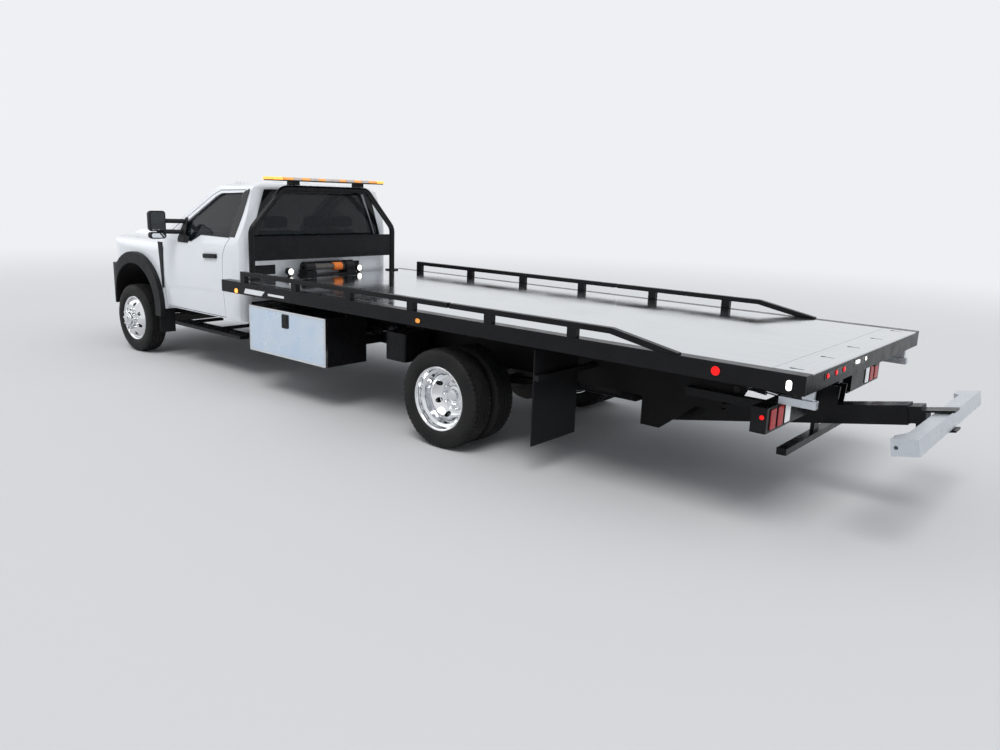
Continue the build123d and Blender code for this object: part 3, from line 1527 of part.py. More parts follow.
# Crossbar across the truck, on the fork's pin, with a deeper block and a blind bore at each end
end_inner = crossbar_half - crossbar_end_length
end_depth = crossbar_size / 2 + crossbar_end_depth
with BuildPart() as crossbar:
    with BuildSketch(pin_plane.offset(-crossbar_size / 2)):
        with BuildLine():
            Polyline(
                (-crossbar_half, crossbar_size / 2),
                (crossbar_half, crossbar_size / 2),
                (crossbar_half, -end_depth),
                (end_inner, -end_depth),
                (end_inner - crossbar_taper, -crossbar_size / 2),
                (crossbar_taper - end_inner, -crossbar_size / 2),
                (-end_inner, -end_depth),
                (-crossbar_half, -end_depth),
                close=True,
            )
        make_face()
        Circle(head_pin_radius + pin_clearance, mode=Mode.SUBTRACT)
    extrude(amount=crossbar_size)
    bore_y, bore_z = along_lift(crossbar_along + crossbar_bore_along, -crossbar_drop)
    for side in (-1, 1):
        bore_x = sorted((side * (crossbar_half - crossbar_bore_depth), side * crossbar_half))
        rod_x(bore_x, bore_y, bore_z, crossbar_bore_radius, mode=Mode.SUBTRACT)


def cylinder_plane(base, eye, x):
    # A plane at the base pin that looks along the cylinder to its rod's eye
    return Plane(
        origin=(x, back(base[0]), base[1]),
        x_dir=(1, 0, 0),
        z_dir=(0, eye[0] - base[0], eye[1] - base[1]),
    )


def barrel(base, eye, x, radius, length, rod_radius):
    plane = cylinder_plane(base, eye, x)
    with BuildPart() as piece:
        with BuildSketch(plane.offset(10)):
            Circle(radius)
        extrude(amount=length - 10)
        rod_x(
            (x - cylinder_eye_width / 2, x + cylinder_eye_width / 2),
            back(base[0]),
            base[1],
            cylinder_pin_radius + 14,
        )
        with BuildSketch(plane.offset(60)):
            Circle(rod_radius + pin_clearance)
        extrude(amount=length, mode=Mode.SUBTRACT)
        rod_x(
            (x - 50, x + 50),
            back(base[0]),
            base[1],
            cylinder_pin_radius + pin_clearance,
            mode=Mode.SUBTRACT,
        )
    return piece


def rod(base, eye, x, rod_radius):
    reach = hypot(eye[0] - base[0], eye[1] - base[1])
    with BuildPart() as piece:
        with BuildSketch(cylinder_plane(base, eye, x).offset(80)):
            Circle(rod_radius)
        extrude(amount=reach - 80)
        rod_x(
            (x - cylinder_eye_width / 2, x + cylinder_eye_width / 2),
            back(eye[0]),
            eye[1],
            cylinder_pin_radius + 10,
        )
    return piece


tilt_pair = (tilt_cylinder_base, tilt_cylinder_eye, tilt_cylinder_x)
with BuildPart() as tilt_barrels:
    add(barrel(*tilt_pair, tilt_barrel_radius, tilt_barrel_length, tilt_cylinder_rod_radius).part)
    mirror(about=Plane.YZ)
with BuildPart() as tilt_rods:
    add(rod(*tilt_pair, tilt_cylinder_rod_radius).part)
    mirror(about=Plane.YZ)
lift_pair = (lift_cylinder_base, lift_cylinder_eye, 0)
lift_barrel = barrel(*lift_pair, lift_barrel_radius, lift_barrel_length, lift_cylinder_rod_radius)
lift_rod = rod(*lift_pair, lift_cylinder_rod_radius)

pieces = {
    "chassis_frame": chassis_frame,
    "engine_block": engine_block,
    "axles": axles,
    "leaf_springs": leaf_springs,
    "drive_shaft": drive_shaft,
    "exhaust": exhaust,
    "tanks": tanks,
    "knuckle_left": knuckle_left,
    "knuckle_right": knuckle_right,
    "front_wheel_left": front_wheel_left,
    "front_wheel_right": front_wheel_right,
    "front_tyre_left": front_tyre_left,
    "front_tyre_right": front_tyre_right,
    "rear_wheels_left": rear_wheels_left,
    "rear_wheels_right": rear_wheels_right,
    "rear_tyres_left": rear_tyres_left,
    "rear_tyres_right": rear_tyres_right,
    "cab_shell": cab_shell,
    "cab_glass": cab_glass,
    "door_left": door_left,
    "door_right": door_right,
    "door_glass_left": door_glass_left,
    "door_glass_right": door_glass_right,
    "mirror_left": mirror_left,
    "mirror_right": mirror_right,
    "hood": hood,
    "fenders": fenders,
    "wheel_flares": wheel_flares,
    "grille": grille,
    "headlamps": headlamps,
    "front_bumper": front_bumper,
    "dashboard": dashboard,
    "steering_wheel": steering_wheel,
    "seats": seats,
    "running_boards": running_boards,
    "tilt_frame": tilt_frame,
    "tilt_barrels": tilt_barrels,
    "tilt_rods": tilt_rods,
    "bed_frame": bed_frame,
    "deck_plate": deck_plate,
    "tail_plate": tail_plate,
    "side_rails": side_rails,
    "stowed_arms": stowed_arms,
    "headboard": headboard,
    "light_bar": light_bar,
    "winch": winch,
    "winch_drum": winch_drum,
    "work_lamps": work_lamps,
    "toolboxes": toolboxes,
    "toolbox_door_left": toolbox_door_left,
    "toolbox_door_right": toolbox_door_right,
    "mud_flaps": mud_flaps,
    "lamp_panels": lamp_panels,
    "lift_boom": lift_boom,
    "lift_stage": lift_stage,
    "crossbar": crossbar,
    "lift_barrel": lift_barrel,
    "lift_rod": lift_rod,
}
os.makedirs("parts", exist_ok=True)
for name, piece in pieces.items():
    piece.part.label = name
    export_step(piece.part, f"parts/{name}.step")
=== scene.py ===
import bpy
import bmesh
import json
from math import cos, hypot, radians, sin, tau
from mathutils import Matrix, Vector, noise

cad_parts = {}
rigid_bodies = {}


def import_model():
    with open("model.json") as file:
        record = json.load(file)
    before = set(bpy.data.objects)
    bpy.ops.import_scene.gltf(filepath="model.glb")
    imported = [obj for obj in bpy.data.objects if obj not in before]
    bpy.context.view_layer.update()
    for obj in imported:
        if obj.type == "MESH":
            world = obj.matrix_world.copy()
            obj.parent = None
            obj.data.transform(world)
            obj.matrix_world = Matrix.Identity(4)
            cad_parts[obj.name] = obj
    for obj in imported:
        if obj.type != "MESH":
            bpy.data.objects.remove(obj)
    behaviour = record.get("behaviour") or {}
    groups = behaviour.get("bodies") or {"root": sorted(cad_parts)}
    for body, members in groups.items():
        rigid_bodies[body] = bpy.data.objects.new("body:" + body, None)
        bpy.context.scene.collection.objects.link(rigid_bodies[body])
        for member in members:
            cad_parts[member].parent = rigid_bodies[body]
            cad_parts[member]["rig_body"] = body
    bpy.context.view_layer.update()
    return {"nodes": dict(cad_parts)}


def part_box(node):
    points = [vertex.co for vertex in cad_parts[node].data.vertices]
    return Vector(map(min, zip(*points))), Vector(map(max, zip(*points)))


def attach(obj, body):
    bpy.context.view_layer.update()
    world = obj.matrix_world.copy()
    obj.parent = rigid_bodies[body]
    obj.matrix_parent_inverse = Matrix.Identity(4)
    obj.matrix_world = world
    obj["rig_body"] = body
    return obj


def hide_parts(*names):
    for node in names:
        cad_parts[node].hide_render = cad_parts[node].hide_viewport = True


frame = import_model()
print("frame loaded", len(frame["nodes"]), "nodes")

# Places are metres behind the front axle
frontAxle = sum((corner.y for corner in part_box("front_tyre_left"))) / 2
wheelbase = sum((corner.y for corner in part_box("rear_tyres_left"))) / 2 - frontAxle
axleHeight = 402  # millimetres above the floor


def back(place):
    return frontAxle + place


scene = bpy.context.scene
scene.view_settings.view_transform = "Standard"

cameraSettings = {
    "location": (5.713, 9.581, 2.015),  # across, behind the front axle, up
    "yaw": -0.881,
    "pitch": -0.219,
    "roll": 0.035,
    "lens": 29.4,
    "sensor": 36.0,
}


def addCamera(settings):
    data = bpy.data.cameras.new("camera")
    data.lens = settings["lens"]
    data.sensor_width = settings["sensor"]
    data.clip_end = 200
    camera = bpy.data.objects.new("camera", data)
    scene.collection.objects.link(camera)
    yaw, pitch, roll = settings["yaw"], settings["pitch"], settings["roll"]
    ahead = Vector((sin(yaw) * cos(pitch), -cos(yaw) * cos(pitch), sin(pitch)))
    level = ahead.cross(Vector((0, 0, 1))).normalized()
    upright = level.cross(ahead)
    right = cos(roll) * level + sin(roll) * upright
    up = -sin(roll) * level + cos(roll) * upright
    turn = Matrix((right, up, -ahead)).transposed()
    across, place, height = settings["location"]
    camera.matrix_world = Matrix.Translation((across, back(place), height)) @ turn.to_4x4()
    scene.camera = camera


addCamera(cameraSettings)

def setInputs(node, values):
    for name, value in values.items():
        node.inputs[name].default_value = value


def startMaterial(name):
    # a new material with its tree, its shader and the object's own coordinates
    material = bpy.data.materials.new(name)
    material.use_nodes = True
    tree = material.node_tree
    place = tree.nodes.new("ShaderNodeTexCoord").outputs["Object"]
    return material, tree, tree.nodes["Principled BSDF"], place


def mixShaders(tree, factor, first, second, end):
    mix = tree.nodes.new("ShaderNodeMixShader")
    for socket, source in zip(mix.inputs, (factor, first.outputs[0], second.outputs[0])):
        tree.links.new(source, socket)
    tree.links.new(mix.outputs[0], end.inputs["Surface"])


studio = {
    "skyColour": (0.90, 0.92, 0.94),
    "skyStrength": 0.95,
    "fillColour": (0.88, 0.93, 1.0),
    "fillStrength": 0.55,
    "floorColour": (0.62, 0.62, 0.62),
    "floorGloss": 0.9,
    "floorSpecular": 0.1,
    "floorSize": 60.0,
    "fadeFrom": 9.0,
    "fadeTo": 22.0,
    # each broad sun: height above the horizon, where it comes from (0 ahead, 90 left), width, power
    "suns": (
        (58, 118, 28, 1.55),
        (42, 200, 60, 0.55),
        (35, 20, 60, 0.40),
    ),
}


def addStudio(settings):
    world = bpy.data.worlds.new("studio")
    scene.world = world
    world.use_nodes = True
    tree = world.node_tree
    tree.nodes.clear()
    seen, fill = (tree.nodes.new("ShaderNodeBackground") for count in range(2))
    skyLight = {"Color": (*settings["skyColour"], 1), "Strength": settings["skyStrength"]}
    setInputs(seen, skyLight)
    setInputs(fill, {"Color": (*settings["fillColour"], 1), "Strength": settings["fillStrength"]})
    # the camera, mirrors and panes see the sky; surfaces are lit by the fill
    rays = tree.nodes.new("ShaderNodeLightPath")
    sums = []
    for first, second in (("Is Camera Ray", "Is Glossy Ray"), (None, "Is Transmission Ray")):
        add = tree.nodes.new("ShaderNodeMath")
        add.operation = "MAXIMUM"
        tree.links.new(rays.outputs[first] if first else sums[-1].outputs[0], add.inputs[0])
        tree.links.new(rays.outputs[second], add.inputs[1])
        sums.append(add)
    mixShaders(tree, sums[-1].outputs[0], fill, seen, tree.nodes.new("ShaderNodeOutputWorld"))
    for index, (height, heading, width, power) in enumerate(settings["suns"]):
        data = bpy.data.lights.new(f"broadSun{index}", "SUN")
        data.angle = radians(width)
        data.energy = power
        lamp = bpy.data.objects.new(data.name, data)
        scene.collection.objects.link(lamp)
        level = cos(radians(height))
        turn = radians(heading)
        toLamp = Vector((sin(turn) * level, -cos(turn) * level, sin(radians(height))))
        lamp.rotation_euler = (-toLamp).to_track_quat("-Z", "Y").to_euler()
    floorMesh = bpy.data.meshes.new("floor")
    half = settings["floorSize"]
    corners = [(-half, -half, 0), (half, -half, 0), (half, half, 0), (-half, half, 0)]
    floorMesh.from_pydata(corners, [], [(0, 1, 2, 3)])
    floor = bpy.data.objects.new("floor", floorMesh)
    scene.collection.objects.link(floor)
    material, tree, shader, place = startMaterial("floorPale")
    setInputs(shader, {"Base Color": (*settings["floorColour"], 1), "Roughness": settings["floorGloss"],
                       "Specular IOR Level": settings["floorSpecular"]})
    glow = tree.nodes.new("ShaderNodeEmission")
    setInputs(glow, skyLight)
    # far from the truck the floor fades into the sky
    length = tree.nodes.new("ShaderNodeVectorMath")
    length.operation = "LENGTH"
    tree.links.new(place, length.inputs[0])
    fade = tree.nodes.new("ShaderNodeMapRange")
    fade.interpolation_type = "SMOOTHSTEP"
    setInputs(fade, {"From Min": settings["fadeFrom"], "From Max": settings["fadeTo"]})
    tree.links.new(length.outputs["Value"], fade.inputs["Value"])
    mixShaders(tree, fade.outputs[0], shader, glow, tree.nodes["Material Output"])
    floorMesh.materials.append(material)


addStudio(studio)
print("camera and studio ready")

# Finishes: colour and its shade in patches, gloss range, and the grain that shows up close
finishes = {
    "cabWhite": dict(colour=(0.80, 0.82, 0.845), shade=(0.765, 0.79, 0.82), patch=1.3, gloss=(0.16, 0.24),
                     glossScale=5, grain=0.05, grainScale=420, coat=0.7, coatGloss=0.05),
    "frameBlack": dict(colour=(0.005, 0.005, 0.006), shade=(0.009, 0.009, 0.010), patch=4, gloss=(0.22, 0.34),
                       glossScale=9, grain=0.08, grainScale=330, specular=0.16),
    "underBlack": dict(colour=(0.006, 0.006, 0.007), shade=(0.014, 0.013, 0.012), patch=3, gloss=(0.45, 0.75),
                       glossScale=6, grain=0.35, grainScale=160, specular=0.12),
    "trimGrain": dict(colour=(0.010, 0.011, 0.012), shade=(0.016, 0.017, 0.018), patch=6, gloss=(0.45, 0.6),
                      glossScale=12, grain=0.5, grainScale=900, specular=0.18),
    "glossBlack": dict(colour=(0.004, 0.005, 0.006), shade=(0.007, 0.008, 0.009), patch=6, gloss=(0.06, 0.12),
                       glossScale=12, grain=0.02, grainScale=500, specular=0.25),
    "tyreRubber": dict(colour=(0.009, 0.009, 0.0095), shade=(0.017, 0.0165, 0.016), patch=7, gloss=(0.5, 0.7),
                       glossScale=14, grain=0.35, grainScale=500, specular=0.18),
    "flapRubber": dict(colour=(0.006, 0.006, 0.007), shade=(0.010, 0.010, 0.011), patch=5, gloss=(0.32, 0.46),
                       glossScale=7, grain=0.25, grainScale=260, specular=0.2),
    "polished": dict(colour=(0.83, 0.84, 0.85), shade=(0.74, 0.75, 0.77), patch=9, gloss=(0.035, 0.10),
                     glossScale=22, grain=0.03, grainScale=260, metallic=1.0),
    "zinc": dict(colour=(0.60, 0.63, 0.67), shade=(0.55, 0.58, 0.62), patch=11, gloss=(0.26, 0.38),
                 glossScale=26, grain=0.12, grainScale=310, metallic=0.8),
    "castIron": dict(colour=(0.055, 0.054, 0.053), shade=(0.095, 0.088, 0.080), patch=7, gloss=(0.55, 0.8),
                     glossScale=11, grain=0.7, grainScale=230, metallic=0.3),
    "bareSteel": dict(colour=(0.30, 0.30, 0.31), shade=(0.20, 0.195, 0.19), patch=9, gloss=(0.35, 0.55),
                      glossScale=18, grain=0.3, grainScale=200, metallic=0.8),
    "rodChrome": dict(colour=(0.80, 0.81, 0.83), shade=(0.74, 0.75, 0.77), patch=20, gloss=(0.03, 0.07),
                      glossScale=30, grain=0.02, grainScale=300, metallic=1.0),
    "seatCloth": dict(colour=(0.055, 0.056, 0.060), shade=(0.075, 0.076, 0.08), patch=18, gloss=(0.8, 0.95),
                      glossScale=40, grain=0.9, grainScale=1500),
    "dashPlastic": dict(colour=(0.060, 0.061, 0.064), shade=(0.075, 0.076, 0.08), patch=5, gloss=(0.5, 0.65),
                        glossScale=9, grain=0.4, grainScale=1200),
    "shadowWhite": dict(colour=(0.70, 0.72, 0.75), shade=(0.68, 0.70, 0.73), patch=2, gloss=(0.25, 0.35),
                        glossScale=8, grain=0.04, grainScale=400),
    "panelFilm": dict(colour=(0.62, 0.74, 0.90), shade=(0.72, 0.80, 0.88), patch=5, gloss=(0.10, 0.30),
                      glossScale=9, grain=0.10, grainScale=60, metallic=0.75),
    "mirrorGlass": dict(colour=(0.80, 0.82, 0.84), shade=(0.76, 0.79, 0.82), patch=2, gloss=(0.02, 0.03),
                        glossScale=4, grain=0.01, grainScale=100, metallic=1.0),
    "ropeOrange": dict(colour=(0.82, 0.22, 0.03), shade=(0.60, 0.15, 0.02), patch=60, gloss=(0.55, 0.75),
                       glossScale=60, grain=0.8, grainScale=700),
    "labelWhite": dict(colour=(0.82, 0.83, 0.84), shade=(0.76, 0.77, 0.78), patch=12, gloss=(0.28, 0.4),
                       glossScale=20, grain=0.05, grainScale=400),
}


def addNoise(tree, place, scale, detail=3.0):
    grain = tree.nodes.new("ShaderNodeTexNoise")
    setInputs(grain, {"Scale": scale, "Detail": detail})
    tree.links.new(place, grain.inputs["Vector"])
    return grain.outputs["Fac"]


def addRange(tree, value, low, high):
    # noise lies mostly between 0.3 and 0.7
    ranged = tree.nodes.new("ShaderNodeMapRange")
    setInputs(ranged, {"From Min": 0.3, "From Max": 0.7, "To Min": low, "To Max": high})
    tree.links.new(value, ranged.inputs["Value"])
    return ranged.outputs[0]


def addMix(tree, factor, first, second):
    mix = tree.nodes.new("ShaderNodeMix")
    mix.data_type = "RGBA"
    tree.links.new(factor, mix.inputs["Factor"])
    for socket, value in ((mix.inputs[6], first), (mix.inputs[7], second)):
        if isinstance(value, tuple):
            socket.default_value = (*value, 1)
        else:
            tree.links.new(value, socket)
    return mix.outputs[2]


def addBump(tree, shader, height, strength, distance):
    bump = tree.nodes.new("ShaderNodeBump")
    setInputs(bump, {"Strength": strength, "Distance": distance})
    tree.links.new(height, bump.inputs["Height"])
    tree.links.new(bump.outputs[0], shader.inputs["Normal"])


def makeFinish(name, colour, shade, patch, gloss, glossScale, grain, grainScale, metallic=0.0, coat=0.0,
               coatGloss=0.1, specular=0.5):
    material, tree, shader, place = startMaterial(name)
    patches = addRange(tree, addNoise(tree, place, patch), 0, 1)
    tree.links.new(addMix(tree, patches, colour, shade), shader.inputs["Base Color"])
    tree.links.new(addRange(tree, addNoise(tree, place, glossScale), *gloss), shader.inputs["Roughness"])
    addBump(tree, shader, addNoise(tree, place, grainScale, 2.0), grain, 0.0006)
    setInputs(shader, {"Metallic": metallic, "Coat Weight": coat, "Coat Roughness": coatGloss,
                       "Specular IOR Level": specular})
    return material


paint = {name: makeFinish(name, **values) for name, values in finishes.items()}


def makeLens(name, colour, glow, alpha, gloss, specular, coat):
    # a lamp lens or a pane: clear colour over faint ribs, lit from behind where glow is set
    material, tree, shader, place = startMaterial(name)
    deep = tuple(channel * 0.72 for channel in colour)
    ribs = addRange(tree, addNoise(tree, place, 30), 0, 1)
    tree.links.new(addMix(tree, ribs, colour, deep), shader.inputs["Base Color"])
    setInputs(shader, {"Roughness": gloss, "Alpha": alpha, "Specular IOR Level": specular,
                       "Coat Weight": coat})
    if glow:
        setInputs(shader, {"Emission Color": (*colour, 1), "Emission Strength": glow})
    return material


# colour, glow, how solid it looks, gloss, specular, coat
lenses = {
    "tintedGlass": ((0.003, 0.008, 0.011), 0, 0.66, 0.01, 0.28, 0),
    "clearLens": ((0.75, 0.78, 0.80), 0, 0.55, 0.04, 0.5, 0.5),
    "redLens": ((0.36, 0.004, 0.008), 0.3, 1.0, 0.08, 0.2, 0.1),
    "redLit": ((0.80, 0.008, 0.008), 0.8, 1.0, 0.08, 0.2, 0.1),
    "amberLens": ((0.90, 0.34, 0.04), 0.35, 1.0, 0.08, 0.5, 0.5),
    "amberLit": ((1.0, 0.36, 0.05), 1.5, 1.0, 0.08, 0.5, 0.5),
    "whiteLit": ((1.0, 0.97, 0.90), 1.6, 1.0, 0.08, 0.5, 0.5),
    "whiteLens": ((0.80, 0.82, 0.84), 0.25, 1.0, 0.08, 0.5, 0.5),
}
for name, values in lenses.items():
    paint[name] = makeLens(name, *values)

deckMetal = {
    "tones": ((0.70, 0.715, 0.735), (0.60, 0.615, 0.64)),
    "streaks": {"Y": (90, 1.2, 1), "X": (1.2, 90, 1)},
    "gloss": (0.07, 0.16),
    "scuffScale": 2.2,
    "dentScale": 1.6,
    "dents": (0.12, 0.002),
}


def makeDeckMetal(name, streakAlong):
    # bright rolled sheet: faint mill streaks one way, soft dents and a scuffed gloss
    material, tree, shader, place = startMaterial(name)
    stretch = tree.nodes.new("ShaderNodeMapping")
    stretch.inputs["Scale"].default_value = deckMetal["streaks"][streakAlong]
    tree.links.new(place, stretch.inputs["Vector"])
    streaks = addNoise(tree, stretch.outputs[0], 1.0, 4.0)
    scuffs = addNoise(tree, place, deckMetal["scuffScale"], 5.0)
    tone = addMix(tree, addRange(tree, streaks, 0, 1), *deckMetal["tones"])
    tree.links.new(tone, shader.inputs["Base Color"])
    tree.links.new(addRange(tree, scuffs, *deckMetal["gloss"]), shader.inputs["Roughness"])
    addBump(tree, shader, addNoise(tree, place, deckMetal["dentScale"], 1.0), *deckMetal["dents"])
    shader.inputs["Metallic"].default_value = 1.0
    return material


paint["deckMetal"] = makeDeckMetal("deckMetal", "Y")
paint["tailMetal"] = makeDeckMetal("tailMetal", "X")
print("finishes ready")


# Carried-over nodes: the same form with its edges rounded as a press brake or a mould leaves them
def smoothBySharpness(mesh, angle):
    for face in mesh.polygons:
        face.use_smooth = True
    mesh.set_sharp_from_angle(angle=radians(angle))


def dress(node, finish, edge=0.003, segments=2, smoothAngle=35):
    source = frame["nodes"][node]
    work = bmesh.new()
    work.from_mesh(source.data)
    bmesh.ops.remove_doubles(work, verts=work.verts, dist=0.00002)
    bmesh.ops.dissolve_limit(work, angle_limit=radians(0.7), verts=work.verts, edges=work.edges)
    mesh = bpy.data.meshes.new(node + "Dressed")
    work.to_mesh(mesh)
    work.free()
    mesh.materials.clear()
    mesh.materials.append(paint[finish])
    for face in mesh.polygons:
        face.material_index = 0
    if mesh.has_custom_normals:
        mesh.attributes.remove(mesh.attributes["custom_normal"])
    smoothBySharpness(mesh, smoothAngle)
    piece = bpy.data.objects.new(node + "Dressed", mesh)
    scene.collection.objects.link(piece)
    if edge:
        addEdges(piece, edge, segments, smoothAngle)
    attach(piece, source["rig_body"])
    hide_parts(node)
    return piece


# Building helpers. Points are (across, behind the front axle, up) in millimetres
def at(point):
    return Vector((point[0] / 1000, back(point[1] / 1000), point[2] / 1000))


def putBox(shape, low, high):
    corners = [shape.verts.new(at((x, f, z))) for x in (low[0], high[0]) for f in (low[1], high[1])
               for z in (low[2], high[2])]
    for face in ((0, 1, 3, 2), (4, 6, 7, 5), (0, 4, 5, 1), (2, 3, 7, 6), (0, 2, 6, 4), (1, 5, 7, 3)):
        shape.faces.new([corners[i] for i in face])


def frameAlong(ahead):
    # two directions across a line, the second as upright as it can be
    ahead = ahead.normalized()
    aside = ahead.cross(Vector((0, 0, 1)))
    if aside.length < 0.02:
        aside = ahead.cross(Vector((0, 1, 0)))
    aside.normalize()
    return aside, aside.cross(ahead)


def joinRings(shape, rings, wrapRings=False, wrapRing=True):
    # faces between each ring of corners and the next
    count = len(rings[0])
    for index in range(len(rings) if wrapRings else len(rings) - 1):
        first, second = rings[index], rings[(index + 1) % len(rings)]
        for i in range(count if wrapRing else count - 1):
            j = (i + 1) % count
            shape.faces.new((first[i], first[j], second[j], second[i]))


def capRings(shape, rings):
    shape.faces.new(list(reversed(rings[0])))
    shape.faces.new(rings[-1])


def putRing(shape, centre, aside, upright, radius, sides):
    ring = []
    for step in range(sides):
        turn = tau * step / sides
        ring.append(shape.verts.new(centre + (aside * cos(turn) + upright * sin(turn)) * radius / 1000))
    return ring


def putRod(shape, start, end, radius, sides=20, endRadius=None, cap=True):
    start, end = at(start), at(end)
    aside, upright = frameAlong(end - start)
    endRadius = radius if endRadius is None else endRadius
    rings = [putRing(shape, start, aside, upright, radius, sides),
             putRing(shape, end, aside, upright, endRadius, sides)]
    joinRings(shape, rings)
    if cap:
        capRings(shape, rings)


def putTube(shape, points, radius, sides=12):
    # a tube through points, its rings turned with as little twist as possible
    line = [at(point) for point in points]
    rings = []
    aside = None
    for index, centre in enumerate(line):
        ahead = (line[min(index + 1, len(line) - 1)] - line[max(index - 1, 0)]).normalized()
        if aside is None:
            aside = frameAlong(ahead)[0]
        aside = (aside - ahead * aside.dot(ahead)).normalized()
        rings.append(putRing(shape, centre, aside, aside.cross(ahead), radius, sides))
    joinRings(shape, rings)
    capRings(shape, rings)


def putTurned(shape, centre, profile, sides=96, closed=True):
    # a section of (along X, radius) pairs turned about an axle across the truck
    rings = []
    for step in range(sides):
        turn = tau * step / sides
        rings.append([shape.verts.new(at((centre[0] + along, centre[1] + radius * cos(turn),
                                          centre[2] + radius * sin(turn)))) for along, radius in profile])
    joinRings(shape, rings, True, closed)


def putTurnedFacing(shape, centre, profile, sides=28):
    # a section of (radius, along) pairs turned about a line that runs rearwards
    rings = []
    for step in range(sides):
        turn = tau * step / sides
        rings.append([shape.verts.new(at((centre[0] + radius * cos(turn), centre[1] + along,
                                          centre[2] + radius * sin(turn)))) for radius, along in profile])
    joinRings(shape, rings, True)


def putPlate(shape, outline, thickness, toPoint):
    # a flat outline of (first, second) pairs carried along; toPoint turns (first, second, depth) into a place
    rings = [[shape.verts.new(at(toPoint(a, b, depth))) for a, b in outline] for depth in (0, thickness)]
    joinRings(shape, rings)
    capRings(shape, rings)


def roundedOutline(width, height, radius, steps=5, centre=(0, 0)):
    points = []
    for cornerX, cornerY, start in ((1, 1, 0), (-1, 1, 90), (-1, -1, 180), (1, -1, 270)):
        for step in range(steps + 1):
            turn = radians(start + 90 * step / steps)
            points.append((centre[0] + cornerX * (width / 2 - radius) + radius * cos(turn),
                           centre[1] + cornerY * (height / 2 - radius) + radius * sin(turn)))
    return points


def addPiece(name, shape, finish, body, edge=0.0, segments=2, smoothAngle=35, twice=False):
    # finish the mesh, round its edges, let it ride on its body; twice adds its mirror image on the same body
    if twice:
        copy = bmesh.ops.duplicate(shape, geom=shape.verts[:] + shape.edges[:] + shape.faces[:])["geom"]
        for vert in (item for item in copy if isinstance(item, bmesh.types.BMVert)):
            vert.co.x = -vert.co.x
        bmesh.ops.reverse_faces(shape, faces=[item for item in copy if isinstance(item, bmesh.types.BMFace)])
    bmesh.ops.recalc_face_normals(shape, faces=shape.faces)
    mesh = bpy.data.meshes.new(name)
    shape.to_mesh(mesh)
    shape.free()
    mesh.materials.append(paint[finish])
    smoothBySharpness(mesh, smoothAngle)
    piece = bpy.data.objects.new(name, mesh)
    scene.collection.objects.link(piece)
    if edge:
        addEdges(piece, edge, segments, smoothAngle)
    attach(piece, body)
    return piece


def addEdges(piece, edge, segments, smoothAngle):
    rounding = piece.modifiers.new("edges", "BEVEL")
    rounding.width = edge
    rounding.segments = segments
    rounding.limit_method = "ANGLE"
    rounding.angle_limit = radians(smoothAngle)
    rounding.use_clamp_overlap = True
    rounding.harden_normals = True


def bodyOf(node):
    return frame["nodes"][node]["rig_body"]


# Tyres: road ribs with cross cuts, and a side wall with plain moulded rings
tyreSettings = {
    "radius": 401.5,
    "pitches": 60,
    "stepsPerPitch": 3,
    "ribEdges": (0, 17, 25, 51, 59, 90),
    "grooveDepth": 11,
    "cutDepth": 6,
    "lean": 0.00035,
    # from the shoulder to the bead: distance from the middle, radius
    "wall": ((107, 366), (110.5, 352), (110.0, 350.5), (111.8, 338), (112.5, 322), (111.6, 306), (109, 296),
             (109.8, 294), (106, 281), (104.5, 277), (100, 272), (95, 266), (88, 258), (83, 249.5)),
}


def tyreSection(settings):
    # half section from the middle of the tread to the bead: (distance from the middle, radius, kind)
    top = settings["radius"]
    deep = top - settings["grooveDepth"]
    edges = settings["ribEdges"]
    half = [(edges[1], top, "rib"), (edges[1] + 1.5, deep, "groove"), (edges[2] - 1.5, deep, "groove"),
            (edges[2], top, "rib"), (edges[3], top - 0.6, "rib"), (edges[3] + 1.5, deep, "groove"),
            (edges[4] - 1.5, deep, "groove"), (edges[4], top - 1, "cut"), (edges[5] - 8, top - 2.5, "cut"),
            (edges[5], top - 5, "cut"), (edges[5] + 7, top - 12, "cut"), (edges[5] + 13, top - 24, "wall")]
    return half + [(across, radius, "wall") for across, radius in settings["wall"]]


def putTyre(shape, centreX, axlePlace, settings):
    half = tyreSection(settings)
    profile = [(-a, r, kind) for a, r, kind in reversed(half)] + half
    steps = settings["pitches"] * settings["stepsPerPitch"]
    rings = []
    for step in range(steps):
        low = step % settings["stepsPerPitch"] == 0
        ring = []
        for along, radius, kind in profile:
            size = radius - (settings["cutDepth"] if low and kind == "cut" else 0)
            lean = along * settings["lean"] if kind in ("cut", "rib") else 0
            turn = tau * step / steps + lean
            ring.append(shape.verts.new(at((centreX + along, axlePlace + size * cos(turn),
                                            axleHeight + size * sin(turn)))))
        rings.append(ring)
    joinRings(shape, rings, True)


# millimetres from the truck's middle to the middle of each wheel
frontX = 940
outerX = 1080
innerX = 810
tyrePlaces = (
    ("front_tyre_left", (frontX,), 0),
    ("front_tyre_right", (-frontX,), 0),
    ("rear_tyres_left", (outerX, innerX), wheelbase * 1000),
    ("rear_tyres_right", (-outerX, -innerX), wheelbase * 1000),
)
for node, places, axlePlace in tyrePlaces:
    shape = bmesh.new()
    for centreX in places:
        putTyre(shape, centreX, axlePlace, tyreSettings)
    piece = addPiece(node + "Tread", shape, "tyreRubber", bodyOf(node), smoothAngle=28)
    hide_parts(node)
print("tyres ready")


def cutWith(piece, cutter):
    # take one mesh away from another for good
    hole = piece.modifiers.new("cut", "BOOLEAN")
    hole.object = cutter
    hole.solver = "EXACT"
    bpy.context.view_layer.update()
    baked = bpy.data.meshes.new_from_object(piece.evaluated_get(bpy.context.evaluated_depsgraph_get()))
    piece.modifiers.remove(hole)
    piece.data = baked
    bpy.data.objects.remove(cutter)


